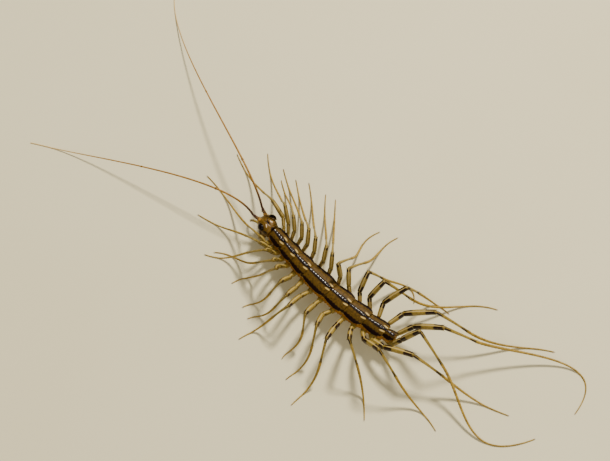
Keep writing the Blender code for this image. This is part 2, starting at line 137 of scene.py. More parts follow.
# %% Find the shift from the body's line to the frame
EYE_PLACE = np.array((1.16, 12.35, 3.72))
HEAD_REAR_FACE = 10.75
left_low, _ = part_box("eye_left")
_, right_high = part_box("eye_right")
head_low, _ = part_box("head")
SHIFT = np.array(
    (
        (left_low.x + right_high.x) / 2 / MM - float(spine_x(EYE_PLACE[1])),
        head_low.y / MM - HEAD_REAR_FACE,
        0.0,
    )
)
print("shift of the body's line, mm:", [round(float(v), 3) for v in SHIFT])

# %% [markdown]
# ## The stance
#
# Each leg has its own stance: where its knee and its foot stand from its hip, away from the body
# and ahead, in millimetres. Two turns in degrees say how far the foot swings off the straight
# way where it leaves the ankle and where it arrives at its tip. The bend says how many
# millimetres ahead of the straight way the thigh's first length ends.
#
# The legs could be bent by an armature, but a still animal needs no rig, and a table of real
# sizes is easier to read and to change.

# %% The stance of the thirty legs
Stance = namedtuple(
    "Stance", "knee_out knee_ahead knee_height foot_out foot_ahead leave arrive bend"
)
RIGHT_LEGS = (
    Stance(0.8, 3.3, 6.4, 4.6, 15.4, 0, -5, -0.5),
    Stance(1.4, 2.1, 7.5, 8.2, 13.2, 0, -10, -0.2),
    Stance(1.5, 1.2, 6.6, 6.6, 9.3, -5, 0, -0.3),
    Stance(1.4, 0.6, 7.2, 8.2, 11.8, -5, 0, -0.4),
    Stance(1.7, 0.6, 6.7, 8.4, 10.4, 0, 0, -0.4),
    Stance(1.5, 0.7, 6.6, 9.5, 10.4, 0, 5, -0.2),
    Stance(1.4, 0.1, 7.2, 10.0, 9.0, 0, -5, -0.3),
    Stance(1.4, 0.7, 7.0, 10.5, 9.2, 0, 0, -0.2),
    Stance(0.7, 0.9, 7.4, 11.4, 2.8, -5, -30, -0.3),
    Stance(1.5, 1.9, 6.7, 12.7, 2.6, -5, -20, 0.1),
    Stance(3.0, 1.4, 7.3, 6.9, -4.6, 25, -85, 0.5),
    Stance(3.4, 0.6, 7.3, 14.7, -12.0, -15, -15, 1.0),
    Stance(4.9, -0.8, 7.7, 9.1, -5.8, 25, -40, 1.1),
    Stance(5.2, -4.6, 6.8, 15.5, -19.2, -10, -5, 1.1),
    Stance(3.7, -5.5, 8.6, 10.8, -25.8, 20, -100, 0.9),
)
LEFT_LEGS = (
    Stance(0.8, 0.7, 5.6, -2.3, 15.8, 0, -10, -0.2),
    Stance(1.6, 0.7, 6.2, 3.1, 12.8, 10, -5, -0.1),
    Stance(1.8, -0.1, 6.7, 6.8, 8.1, 5, 5, 0.2),
    Stance(2.0, -0.9, 7.0, 5.2, 8.7, -5, -25, 0.2),
    Stance(2.8, -1.2, 8.0, 6.6, 4.4, 15, -45, 0.4),
    Stance(3.1, -0.9, 6.6, 7.9, 2.2, -10, -20, -0.2),
    Stance(3.8, -1.2, 6.3, 8.5, 2.1, -10, -15, -0.1),
    Stance(4.6, -0.6, 6.0, 11.6, 2.5, 5, -15, 0.2),
    Stance(3.8, -1.2, 6.4, 9.2, -2.0, -25, -10, 0.0),
    Stance(4.2, -1.4, 6.9, 11.2, -2.4, -20, 10, 0.5),
    Stance(4.9, -1.7, 6.6, 13.7, -3.7, -15, 10, 0.1),
    Stance(3.0, -2.3, 7.3, 8.0, -10.7, -10, 15, 0.1),
    Stance(1.9, -5.0, 8.2, 2.3, -17.2, 0, 15, 0.6),
    Stance(-1.5, -6.8, 6.0, -6.6, -21.3, 0, -5, 0.5),
    Stance(-2.4, -2.8, 8.6, -5.1, -23.7, 10, -60, 0.0),
)
STANCES = {-1: LEFT_LEGS, 1: RIGHT_LEGS}
SIDES = {"left": -1, "right": 1}
HIP_PLACES = (
    10.2, 9.2, 8.2, 6.9, 5.6, 3.8, 2.0, 0.1, -2.0, -4.4, -6.5, -8.4, -10.1, -11.7, -13.3
)
HIP_OUT = 0.35
HIP_HEIGHT = 2.9
TAIL_HIPS = {-1: (0.62, -14.4, 3.1), 1: (1.05, -13.75, 3.1)}


def hip_places():
    """The trunk section and the place along the body of each leg pair, from the front."""
    sections = [index for index, tergite in enumerate(TERGITES) for _ in range(tergite.legs)]
    return list(zip(sections, HIP_PLACES))


HIPS = hip_places()
LEGS = len(HIPS)


def leg_share(number):
    """How far down the row a leg stands, from 0 at the first pair to 1 at the last."""
    return (number - 1) / (LEGS - 1)


def hip(side, number):
    """Where a leg's root meets the body."""
    if number == LEGS:
        out, y, z = TAIL_HIPS[side]
        return np.array((float(spine_x(y)) + side * out, y, z))
    index, y = HIPS[number - 1]
    out = side * (TERGITES[index].half_width + HIP_OUT)
    return np.array((float(spine_x(y)) + out, y, HIP_HEIGHT))


print("leg pairs:", LEGS)

# %% [markdown]
# ## Mesh helpers
#
# The pieces are all built from rows of points, so one helper turns points and faces into an
# object, and one makes a tube along a path. Curve objects with a bevel could make the tubes too,
# but they can't carry ridges, joints and painted values, and a mesh can.
#
# Each mesh carries three painted values that the shell's material reads: dark for pigment and
# for painted shade in the skin's creases and the breathing slits, pale for the yellowish spots,
# the belly plates' rims and painted highlights on the back plates' rims and the head, and gloss
# for the polished crest of the back. They are worked out from a point's own place on its piece,
# so a mark stays where the real one grows.

# %% Put a mesh into the scene
SHARP_FOLD = 50
PAINTS = ("dark", "pale", "gloss")
pieces_made = []


def make_piece(name, part, material, slot, *nodes):
    """An object from points in millimetres, none below the floor, riding on the body."""
    points, faces, painted = part
    points = np.maximum(points, (-np.inf, -np.inf, 0))
    mesh = bpy.data.meshes.new(name)
    mesh.from_pydata(((points + SHIFT) * MM).tolist(), [], faces)
    for label in PAINTS:
        values = np.zeros(len(points)) + painted.get(label, 0)
        layer = mesh.attributes.new(label, "FLOAT", "POINT")
        layer.data.foreach_set("value", values.astype(np.float32))
    shell = bmesh.new()
    shell.from_mesh(mesh)
    bmesh.ops.recalc_face_normals(shell, faces=shell.faces)
    shell.to_mesh(mesh)
    shell.free()
    mesh.materials.append(material)
    mesh.shade_smooth()
    mesh.set_sharp_from_angle(angle=radians(SHARP_FOLD))
    piece = bpy.data.objects.new(name, mesh)
    bpy.context.scene.collection.objects.link(piece)
    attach(piece, "root")
    if nodes:
        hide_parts(*nodes)
    pieces_made.append(piece)
    return piece


def joined(parts):
    """Several parts, each of points, faces and painted values, as one."""
    points, faces, painted = [], [], {label: [] for label in PAINTS}
    count = 0
    for part_points, part_faces, part_painted in parts:
        points.append(part_points)
        faces += [[corner + count for corner in face] for face in part_faces]
        for label in PAINTS:
            painted[label].append(np.zeros(len(part_points)) + part_painted.get(label, 0))
        count += len(part_points)
    return np.concatenate(points), faces, {k: np.concatenate(v) for k, v in painted.items()}


def soft_edge(distance, half_width, blur):
    """A painted value: 1 inside a mark, 0 outside it and 0.5 on its edge."""
    return np.clip(0.5 + (half_width - np.asarray(distance)) / blur, 0, 1)


# %% A grid of faces, and a tube along a path
def grid_faces(rows, columns, closed=False):
    """The quads between the rows of a grid of points, closed round for a tube."""
    index = np.arange(rows * columns).reshape(rows, columns)
    if closed:
        index = np.concatenate((index, index[:, :1]), axis=1)
    quads = np.stack((index[:-1, :-1], index[:-1, 1:], index[1:, 1:], index[1:, :-1]), -1)
    return quads.reshape(-1, 4).tolist()


def tube_faces(rows, sides):
    """The faces of a closed tube, with its two flat ends."""
    last = (rows - 1) * sides
    ends = [list(range(sides)), list(range(last, last + sides))]
    return grid_faces(rows, sides, closed=True) + ends


def unit(vectors):
    """Vectors brought to a length of 1."""
    vectors = np.asarray(vectors, float)
    return vectors / np.maximum(np.linalg.norm(vectors, axis=-1, keepdims=True), 1e-9)


def path_frame(path):
    """Unit vectors along, across and above a path at each of its points."""
    ahead = unit(np.gradient(path, axis=0))
    across = unit(np.cross(ahead, (0, 0, 1)))
    return ahead, across, np.cross(across, ahead)


def tube_part(path, radii, sides, section=None, shares=None, **painted):
    """A closed tube; the rules that paint it read the turn round it and the share along it."""
    path, radii = np.asarray(path, float), np.asarray(radii, float)
    _, across, above = path_frame(path)
    turn = (np.arange(sides) * 2 * pi / sides)[None]
    rim = radii[:, None] * (np.ones((1, sides)) if section is None else section(turn))
    points = (
        path[:, None]
        + (rim * np.cos(turn))[..., None] * across[:, None]
        + (rim * np.sin(turn))[..., None] * above[:, None]
    )
    along = (np.linspace(0, 1, len(path)) if shares is None else shares)[:, None]
    values = {
        label: np.broadcast_to(rule(turn, along), rim.shape).ravel()
        for label, rule in painted.items()
    }
    return points.reshape(-1, 3), tube_faces(len(path), sides), values


# %% Ends that round off, and small spikes
END_SHARE = 0.15
SPIKE_SUNK = 0.3
OFF_AXIS = (0.31, 0.57, 0.76)


def rounded(length, rows, near, far):
    """Places along a part, crowded at its ends, and the share of the full width at each."""
    places = length * (0.5 - 0.5 * np.cos(np.linspace(0, pi, rows)))
    width = np.ones(rows)
    for inset in (1 - np.minimum(places / near, 1), 1 - np.minimum((length - places) / far, 1)):
        width *= np.sqrt(np.maximum(1 - inset**2, END_SHARE**2))
    return places, width


def thorns(roots, ways, lengths, widths, sides=4, **painted):
    """Small pointed spikes, each with its root sunk into the part that carries it."""
    roots, ways = np.broadcast_arrays(np.atleast_2d(roots), unit(np.atleast_2d(ways)))
    lengths = np.broadcast_to(lengths, len(roots))[:, None]
    widths = np.broadcast_to(widths, len(roots))[:, None]
    aside = unit(np.cross(ways, OFF_AXIS))
    other = np.cross(ways, aside)
    low = roots - SPIKE_SUNK * lengths * ways
    corners = [
        low + widths * (cos(2 * pi * k / sides) * aside + sin(2 * pi * k / sides) * other)
        for k in range(sides)
    ]
    points = np.stack((*corners, roots + lengths * ways), 1).reshape(-1, 3)
    faces = []
    for first in range(0, len(points), sides + 1):
        rim = list(range(first, first + sides))
        faces.append(rim)
        faces += [[rim[k], rim[(k + 1) % sides], first + sides] for k in range(sides)]
    return points, faces, {label: np.full(len(points), value) for label, value in painted.items()}


# %% [markdown]
# ## Colours
#
# Colours are written as the hex values that a picture shows, and turned into the linear values
# that a renderer works with. Mixing by eye in linear values would be harder to read.

# %% Hex colours and shader nodes
def paint(code):
    """A linear colour from an sRGB hex value."""
    values = [int(code[i:i + 2], 16) / 255 for i in (1, 3, 5)]
    linear = [v / 12.92 if v <= 0.04045 else ((v + 0.055) / 1.055) ** 2.4 for v in values]
    return (*linear, 1.0)


def add(tree, kind, values=None, links=None, **settings):
    """Add a node with its settings, its sockets' values and the links that feed it."""
    node = tree.nodes.new(kind)
    for name, value in settings.items():
        setattr(node, name, value)
    for socket, value in (values or {}).items():
        node.inputs[socket].default_value = value
    for socket, source in (links or {}).items():
        tree.links.new(source, node.inputs[socket])
    return node


def start_material(name):
    """A new material, with its node tree and its shader."""
    material = bpy.data.materials.new(name)
    material.use_nodes = True
    return material, material.node_tree, material.node_tree.nodes["Principled BSDF"]


# %% [markdown]
# ## Chitin
#
# A centipede's shell is sclerotised chitin, laid down in thin layers and sealed with a little
# wax. It bends light about as much as horn does, and light goes a short way into it, so thin
# parts glow pale gold. Fine pits all over make it half matt. Only the crest of the back is
# rubbed smooth, and the wax on it gives small white glints. The pigment lies in patches with
# soft, grainy edges. One shader builds all kinds of it, because plates, legs, head and skin are
# the same stuff in other colours. The patches come from the painted values, with noise of real
# size that breaks up their edges: a picture would be an easy way too, but it blurs close up.
#
# The wax is given a slightly higher IOR than the real 1.45, which makes its glints as bright as
# those in the photo. The pits are drawn about ten times as wide as real ones, so that they show.

# %% A function for the animal's shell
CHITIN_IOR = 1.56
POLISH_IOR = 1.6
POLISH_ROUGHNESS = 0.22
GLOW_DEPTH = 0.12
GLOW_SPREAD = (1.0, 0.55, 0.25)
PATCH_RANGE = {"From Min": 0.36, "From Max": 0.66}
MARK_RANGE = {"From Min": 0.3, "From Max": 0.75}
EDGE_BREAKUP = 0.45
DARK_SMOOTH = 0.3


def chitin(
    name, gold, deep, mark, spot, mottle, grain, roughness, bump, shine=0.16, depth=0.0, coat=0.1
):
    """One kind of shell; mottle and grain are the sizes of its patches and pits in mm.

    Its coat of wax is even, or lies where the mesh is painted with gloss if coat is None.
    """
    material, tree, shader = start_material(name)
    place = add(tree, "ShaderNodeTexCoord").outputs["Object"]
    patches = add(
        tree, "ShaderNodeTexNoise", links={"Vector": place},
        values={"Scale": 1 / (mottle * MM), "Detail": 4.0, "Roughness": 0.6},
    ).outputs["Fac"]
    pits = add(
        tree, "ShaderNodeTexNoise", links={"Vector": place},
        values={"Scale": 1 / (grain * MM), "Detail": 2.0, "Roughness": 0.5},
    ).outputs["Fac"]
    tone = add(
        tree, "ShaderNodeMapRange", links={"Value": patches}, values=PATCH_RANGE
    ).outputs["Result"]
    color = add(
        tree, "ShaderNodeMix", data_type="RGBA", links={0: tone},
        values={6: paint(gold), 7: paint(deep)},
    ).outputs[2]
    grainy = add(
        tree, "ShaderNodeMath", operation="MULTIPLY_ADD", links={0: pits},
        values={1: EDGE_BREAKUP, 2: -EDGE_BREAKUP / 2},
    ).outputs[0]
    for label, pigment in (("pale", spot), ("dark", mark)):
        painted = add(tree, "ShaderNodeAttribute", attribute_name=label).outputs["Fac"]
        broken = add(
            tree, "ShaderNodeMath", operation="ADD", links={0: painted, 1: grainy}
        ).outputs[0]
        mask = add(
            tree, "ShaderNodeMapRange", interpolation_type="SMOOTHSTEP",
            links={"Value": broken}, values=MARK_RANGE,
        ).outputs["Result"]
        color = add(
            tree, "ShaderNodeMix", data_type="RGBA", links={0: mask, 6: color},
            values={7: paint(pigment)},
        ).outputs[2]
    smooth = add(
        tree, "ShaderNodeMapRange", links={"Value": mask},
        values={"To Min": 1.0, "To Max": DARK_SMOOTH},
    ).outputs["Result"]
    dents = add(
        tree, "ShaderNodeBump", links={"Height": pits, "Strength": smooth},
        values={"Distance": bump * MM},
    ).outputs["Normal"]
    tree.links.new(color, shader.inputs["Base Color"])
    tree.links.new(dents, shader.inputs["Normal"])
    shader.inputs["Roughness"].default_value = roughness
    shader.inputs["Specular IOR Level"].default_value = shine
    shader.inputs["IOR"].default_value = CHITIN_IOR
    if coat is None:
        polish = add(tree, "ShaderNodeAttribute", attribute_name="gloss").outputs["Fac"]
        tree.links.new(polish, shader.inputs["Coat Weight"])
    else:
        shader.inputs["Coat Weight"].default_value = coat
    shader.inputs["Coat Roughness"].default_value = POLISH_ROUGHNESS
    shader.inputs["Coat IOR"].default_value = POLISH_IOR
    shader.inputs["Subsurface Weight"].default_value = depth
    shader.inputs["Subsurface Radius"].default_value = GLOW_SPREAD
    shader.inputs["Subsurface Scale"].default_value = GLOW_DEPTH * MM
    return material


# %% [markdown]
# ## The kinds of shell
#
# The back plates are olive gold with nearly black purple stripes and pale yellow spots. The legs
# are a lighter gold, with dark ridges and bands. The head is a warmer brown, and the skin of the
# flanks is orange brown, softer and duller, because it is thin and bends. The claws are the
# hardest and shiniest, as they are tanned dark all through.

# %% Mix the animal's materials
# Its pale colour paints the yellow spots and a highlight along each plate's rim.
plate_chitin = chitin(
    "back_plate_chitin", gold="#604714", deep="#392a09", mark="#120302", spot="#c0a664",
    mottle=0.32, grain=0.07, roughness=0.50, bump=0.010, shine=0.10, coat=None,
)
leg_chitin = chitin(
    "leg_chitin", gold="#9c8438", deep="#7a6626", mark="#1c0903", spot="#ccb474",
    mottle=0.28, grain=0.08, roughness=0.46, bump=0.010, depth=0.05,
)
foot_chitin = chitin(
    "foot_chitin", gold="#a88a34", deep="#7e6420", mark="#583a12", spot="#d8bc80",
    mottle=0.5, grain=0.08, roughness=0.48, bump=0.006, depth=0.04,
)
# On the head the pale colour paints only highlights: crescents by the eyes and a sheen between
# them.
head_chitin = chitin(
    "head_chitin", gold="#6e5014", deep="#4a3606", mark="#160503", spot="#e6cca6",
    mottle=0.35, grain=0.08, roughness=0.42, bump=0.010, shine=0.13, coat=0.05,
)
# Its dark colour paints only shade, in the creases of the skin's folds.
flank_skin = chitin(
    "flank_skin", gold="#a4700e", deep="#784c06", mark="#2a0f08", spot="#c09448",
    mottle=0.30, grain=0.10, roughness=0.50, bump=0.020, shine=0.15, coat=0.0,
)
feeler_chitin = chitin(
    "feeler_chitin", gold="#a87a26", deep="#86601a", mark="#381a08", spot="#d4b474",
    mottle=0.5, grain=0.08, roughness=0.42, bump=0.006, depth=0.08, coat=0.15,
)
claw_chitin = chitin(
    "claw_chitin", gold="#6a2e10", deep="#3c160a", mark="#120405", spot="#9a5a26",
    mottle=0.3, grain=0.06, roughness=0.22, bump=0.004, shine=0.3, depth=0.1, coat=0.6,
)

# %% [markdown]
# The eye is a field of clear lenses over a black ground. Real glass over black would take long
# to render, and a dark base with a low, even gloss gives the same look.

# %% The eyes' lenses
EYE_CLOUD = 0.4
eye_lens, lens_tree, lens_shader = start_material("eye_lens")
lens_place = add(lens_tree, "ShaderNodeTexCoord").outputs["Object"]
lens_cloud = add(
    lens_tree, "ShaderNodeTexNoise", links={"Vector": lens_place},
    values={"Scale": 1 / (EYE_CLOUD * MM), "Detail": 2.0},
).outputs["Fac"]
lens_color = add(
    lens_tree, "ShaderNodeMix", data_type="RGBA", links={0: lens_cloud},
    values={6: paint("#040203"), 7: paint("#12060a")},
).outputs[2]
lens_tree.links.new(lens_color, lens_shader.inputs["Base Color"])
lens_shader.inputs["Roughness"].default_value = 0.15
lens_shader.inputs["IOR"].default_value = 1.45
lens_shader.inputs["Specular IOR Level"].default_value = 0.2
print("materials, with the plain model's:", len(bpy.data.materials))

# %% [markdown]
# ## The skin of the trunk
#
# Under its plates the trunk is a soft tube, pinched between the sections and folded all over. It
# could be sculpted by hand, but rings with a wave of real size keep it even and repeatable. The
# folds follow the body's round, so they are waves along it that change with the turn.
#
# The plain model's plates have round sizes. Here each plate gets its own width and the crest its
# own slight drift, read once more from the photo at a finer scale, and the skin follows them.

# %% The trunk's own line and widths
PLATE_WIDTHS = (1.38, 1.53, 1.63, 1.81, 1.85, 1.78, 1.47, 0.95)
PLATE_ASIDE = 0.15
PLATE_TWIST = 0.008


def crest_x(y):
    """The line of the back's crest, which drifts a little to the right towards the tail."""
    return spine_x(y) + PLATE_ASIDE - PLATE_TWIST * np.asarray(y, float)


# %% Build the trunk's skin
PLATE_OVERHANG = 0.12
SKIN_SINK = 0.15
SKIN_WAIST = 0.12
WAIST_LENGTH = 0.3
SKIN_SIDES = 72
SKIN_STEP = 0.075
SKIN_POWER = 0.85
SKIN_REACH = 0.25
FLAT_SHARE = 0.25
FOLD_LENGTH = 0.42
FOLD_DEPTH = 0.03
FINE_FOLD = 0.37
TAIL_ROUND = 0.7
NECK_START = 0.3
NECK_TAPER = 0.18
NECK_LENGTH = 0.5


def signed_power(value, power):
    """A power that keeps the value's sign, for rounded-square outlines."""
    return np.abs(value) ** power * np.sign(value)


def trunk_half_width(y):
    """Half the skin's width at a place, pinched where two sections meet."""
    edges = [HEAD_REAR] + [tergite.rear for tergite in TERGITES]
    middles = [-blend(a, b, 0.5) for a, b in zip(edges, edges[1:])]
    width = np.interp(-y, middles, [width - PLATE_OVERHANG for width in PLATE_WIDTHS])
    pinch = sum(np.exp(-(((y - edge) / WAIST_LENGTH) ** 2)) for edge in edges[1:-1])
    return width - SKIN_WAIST * np.clip(pinch, 0, 1)


def trunk_skin():
    """Rings from the head to the tail, with painted shade in the creases of their folds."""
    y = np.arange(HEAD_REAR + SKIN_REACH, TERGITES[TAIL].rear, -SKIN_STEP)[:, None]
    turn = (np.arange(SKIN_SIDES) * 2 * pi / SKIN_SIDES)[None]
    from_tail = np.clip((y - TERGITES[TAIL].rear) / TAIL_ROUND, 0, 1)
    end = np.sqrt(np.maximum(1 - (1 - from_tail) ** 2, END_SHARE**2))
    neck = 1 - NECK_TAPER * np.clip((y - HEAD_REAR + NECK_START) / NECK_LENGTH, 0, 1)
    width = trunk_half_width(y) * neck
    deep = (BODY_DEPTH - SKIN_SINK) / 2
    height = (deep - FLAT_SHARE * (width.max() - width)) * neck
    wave = np.sin(2 * pi * y / FOLD_LENGTH + 1.3 * np.sin(3 * turn))
    wave = wave + 0.5 * np.sin(2 * pi * y / (FINE_FOLD * FOLD_LENGTH) + 2.0 * np.cos(5 * turn))
    swell = end * (1 + FOLD_DEPTH * wave * np.clip(1.2 - np.sin(turn), 0.2, 1))
    x = crest_x(y) + width * swell * signed_power(np.cos(turn), SKIN_POWER)
    z = back_z(y) - SKIN_SINK - deep + height * swell * signed_power(np.sin(turn), SKIN_POWER)
    points = np.stack(np.broadcast_arrays(x, y, z), -1).reshape(-1, 3)
    # The deepest troughs of the folds are darkened with painted shade.
    crease_shade = 0.42 * soft_edge(wave.ravel(), -0.9, 0.8)
    return points, tube_faces(len(y), SKIN_SIDES), {"dark": crease_shade}


skin = make_piece("trunk_skin", trunk_skin(), flank_skin, "back_plate_cuticle", *TRUNK_NODES)
print("trunk skin faces:", len(skin.data.polygons))

# %% [markdown]
# ## The shell plates
#
# Eight plates roof the back and overlap like tiles. Each one is a curved slab with a raised rim,
# a crest along its middle and a notch in its rear edge, where the slit opens that the animal
# breathes through. A plane with thickness from a Solidify modifier would do for the slab, but
# its edges would be square. Two grids of points that meet in a round edge give the real rim.

# %% The shape of a plate
PLATE_THICK = 0.35
PLATE_ARCH = 0.75
PLATE_RIM = 0.10
SIDE_SHARE = 0.3
PLATE_LIFT = 0.10
PLATE_CREST = 0.10
CREST_HALF = 0.40
PLATE_CORNER = 0.35
PLATE_NOTCH = 0.45
NOTCH_SHARE = 0.24
PLATE_ROLL = 0.09
PLATE_LAP = 0.12
PLATE_REACH = 0.42
NECK_REACH = 0.05
PLATE_TUCK = 0.22
TUCK_LENGTH = 0.75
PLATE_COLUMNS = 110
PLATE_ROWS = 100
PLATE_SCALLOP = 0.16
BEAD_LENGTH = 0.50
BEAD_SHARE = 0.20
GRAIN_LONG = 0.46
GRAIN_WIDE = 0.24
GRAIN_HIGH = 0.006
Grid = namedtuple("Grid", "u v seen x y z out length")


def plate_grid(index):
    """One plate's points: u runs across it and v from its front to its rear."""
    front = tergite_front(index) + (PLATE_REACH if index else NECK_REACH)
    rear = TERGITES[index].rear - PLATE_LAP
    half_width = PLATE_WIDTHS[index]
    even = np.linspace(-1, 1, PLATE_COLUMNS + 1)
    across = 0.5 * (even + np.sin(even * pi / 2))
    u, v = np.meshgrid(across, 0.5 - 0.5 * np.cos(np.linspace(0, pi, PLATE_ROWS + 1)))
    at_side = np.clip(1 - (1 - np.abs(u)) / SIDE_SHARE, 0, 1)
    corner = PLATE_CORNER * at_side**1.5
    notch = PLATE_NOTCH * np.clip(1 - np.abs(u) / NOTCH_SHARE, 0, 1) ** 1.3
    y = blend(front - 0.6 * corner, rear + corner + notch, v)
    hidden = (PLATE_REACH + PLATE_LAP) / (front - rear) if index else 0
    seen = np.clip((v - hidden) / (1 - hidden), 0, 1)
    scallop = PLATE_SCALLOP * ((1 - seen) ** 2 + np.clip((seen - 0.6) / 0.4, 0, 1) ** 2)
    x = crest_x(y) + u * half_width * (1 - scallop)
    beads = 1 + BEAD_SHARE * np.cos(2 * pi * y / BEAD_LENGTH)
    ridge = np.clip(1 - (u * half_width / CREST_HALF) ** 2, 0, 1)
    grains = np.cos(2 * pi * y / GRAIN_LONG) * np.cos(2 * pi * u * half_width / GRAIN_WIDE)
    crest = PLATE_CREST * beads * ridge**1.5 + GRAIN_HIGH * grains * np.sqrt(ridge)
    tuck = PLATE_TUCK * np.clip(1 - (front - y) / TUCK_LENGTH, 0, 1) if index else 0
    roof = back_z(y) - PLATE_ARCH * np.abs(u) ** 2.2 + PLATE_RIM * at_side
    z = roof + crest + PLATE_LIFT * v**1.5 - tuck
    return Grid(u, v, seen, x, y, z, np.abs(u) * half_width, (front - rear) * (1 - hidden))


# %% [markdown]
# Each plate has a dark stripe along its middle, one along each side and two pale spots beside
# the middle stripe's widest place. The stripes swell and shrink along the plate, which makes a
# chain of eight links down the back. The marks are distances on the plate, in millimetres.

# %% The slit of a plate, its pigment, and its painted shade and highlight
SLIT_AHEAD = 0.32
SLIT_LENGTH = 0.34
SLIT_WIDTH = 0.07
STRIPE_PLACES = (0, 0.15, 0.45, 0.72, 0.86, 0.95, 1)
STRIPE_HALVES = (0.23, 0.25, 0.30, 0.34, 0.32, 0.25, 0.18)
TAIL_STRIPE = 0.75
SIDE_STRIPE_IN = 0.19
SIDE_STRIPE_HALF = 0.20
SIDE_STRIPE_SWELL = 0.11
SPOT_OUT = 0.47
SPOT_AHEAD = 0.36
SPOT_HALF_WIDTH = 0.13
SPOT_HALF_LENGTH = 0.50
RIM_HIGHLIGHT_WIDTH = 0.035
POLISH_HALF = 0.21
FAR_OFF = 9.0


def breathing_slit(grid, index):
    """How far each point lies from the slit, where 1 is its edge."""
    if index == TAIL:
        return np.full(grid.u.shape, FAR_OFF)
    middle = TERGITES[index].rear - PLATE_LAP + PLATE_NOTCH + SLIT_AHEAD
    return np.hypot(grid.out / SLIT_WIDTH, (grid.y - middle) / (SLIT_LENGTH / 2))


def plate_paint(grid, index):
    """A plate's three dark stripes, its two pale spots, a painted highlight along its rim, painted
    shade in its slit, and its polished crest.
    """
    from_edge = PLATE_WIDTHS[index] - grid.out
    wobble = 0.02 * np.sin(2 * pi * grid.y / 0.55) + 0.015 * np.sin(2 * pi * grid.y / 0.23)
    stripe = flowing(grid.seen, STRIPE_PLACES, STRIPE_HALVES)
    middle = soft_edge(grid.out, stripe * (TAIL_STRIPE if index == TAIL else 1) + wobble, 0.10)
    bulge = np.sin(pi * grid.seen) ** 0.7
    side_half = SIDE_STRIPE_HALF + SIDE_STRIPE_SWELL * bulge + 2.0 * wobble
    side = soft_edge(np.abs(from_edge - SIDE_STRIPE_IN), side_half, 0.12)
    # The breathing slit's opening is darkened with painted shade.
    slit = soft_edge(breathing_slit(grid, index), 0.9, 0.5)
    dark = np.maximum.reduce((middle, side * (0.60 + 0.40 * bulge), slit))
    ahead = SPOT_AHEAD - (1 - grid.seen) * grid.length
    out = grid.out - SPOT_OUT + 0.08 * ahead
    spot = soft_edge(np.hypot(out / SPOT_HALF_WIDTH, ahead / SPOT_HALF_LENGTH), 1.0, 0.8)
    # A thin pale band along the plate's edge is a painted highlight.
    rim = 0.6 * soft_edge(from_edge, RIM_HIGHLIGHT_WIDTH, 0.05)
    pale = np.maximum(0 if index == TAIL else 0.9 * spot, rim)
    return dark, pale, np.minimum(soft_edge(grid.out, POLISH_HALF, 0.2), dark)


# %% Build one plate from two grids that meet in a round edge
SLIT_DEPTH = 0.06
SLIT_LIP = 0.02
THIN_EDGE = 0.55
THIN_WIDTH = 0.5
SPIKE_LENGTH = 0.10
SPIKE_WIDTH = 0.022


def back_plate(index):
    """The points, faces and paint of one plate, with fine spikes along its sides."""
    grid = plate_grid(index)
    from_end = np.minimum(grid.v, 1 - grid.v) * grid.length
    from_edge = np.minimum(PLATE_WIDTHS[index] - grid.out, from_end)
    in_roll = 1 - np.clip(from_edge / PLATE_ROLL, 0, 1)
    roll = PLATE_ROLL * (1 - np.sqrt(1 - in_roll**2))
    slit = breathing_slit(grid, index)
    dip = SLIT_DEPTH * np.exp(-(slit**2)) - SLIT_LIP * np.exp(-((slit - 1.8) ** 2))
    thick = PLATE_THICK * blend(THIN_EDGE, 1, np.clip(from_edge / THIN_WIDTH, 0, 1))
    top = np.stack((grid.x, grid.y, grid.z - roll - dip), -1).reshape(-1, 3)
    under = np.stack((grid.x, grid.y, grid.z - thick + 0.4 * roll), -1).reshape(-1, 3)
    rows, columns = grid.u.shape
    count = rows * columns
    faces = grid_faces(rows, columns)
    faces += [[corner + count for corner in face] for face in faces]
    at = np.arange(count).reshape(rows, columns)
    border = np.concatenate((at[0, :-1], at[:-1, -1], at[-1, :0:-1], at[:0:-1, 0])).tolist()
    for a, b in zip(border, border[1:] + border[:1]):
        faces.append([a, b, b + count, a + count])
    paints = zip(PAINTS, plate_paint(grid, index))
    slab = (
        np.concatenate((top, under)), faces,
        {label: np.tile(values.ravel(), 2) for label, values in paints},
    )
    spikes = []
    for column, side in ((0, -1), (-1, 1)):
        edge = top.reshape(rows, columns, 3)[10:-6:5, column]
        way = (side * 0.8, -0.6, 0.1)
        spikes.append(thorns(edge, way, SPIKE_LENGTH, SPIKE_WIDTH, dark=0.4))
    return joined([slab] + spikes)


plates = [
    make_piece(
        f"back_plate_{index + 1}", back_plate(index), plate_chitin, "back_plate_cuticle",
        TRUNK_NODES[index],
    )
    for index in range(len(TERGITES))
]
print("shell plates:", len(plates), "faces each:", len(plates[0].data.polygons))

# %% [markdown]
# ## The belly plates
#
# Under the trunk each pair of legs has its own small plate between its hips. They are hidden in
# most views, so each is a plain domed slab: a flattened ball of rings with squared sides.

# %% Build the belly plates
BELLY_SIDES = 24
BELLY_ROWS = 12
BELLY_SQUARE = 0.6
BELLY_INSET = 0.06
BELLY_DOME = 0.16
BELLY_WIDE = 0.62
BELLY_LONG = 0.86
BELLY_MOST = 1.5


def belly_plate(y, half_width, length):
    """One domed plate under the trunk, paler at its rim."""
    turn = (np.arange(BELLY_SIDES) * 2 * pi / BELLY_SIDES)[None]
    rise = np.linspace(-pi / 2, pi / 2, BELLY_ROWS)[:, None]
    wide = np.maximum(np.cos(rise), 0.05)
    x = spine_x(y) + half_width * wide * signed_power(np.cos(turn), BELLY_SQUARE)
    along = y + length / 2 * wide * signed_power(np.sin(turn), BELLY_SQUARE)
    z = back_z(along) - BODY_DEPTH + BELLY_INSET + BELLY_DOME * np.sin(rise)
    points = np.stack((x, along, z), -1).reshape(-1, 3)
    rim = soft_edge(1 - np.broadcast_to(wide, x.shape), 0.08, 0.2)
    return points, tube_faces(BELLY_ROWS, BELLY_SIDES), {"pale": 0.6 * rim.ravel()}


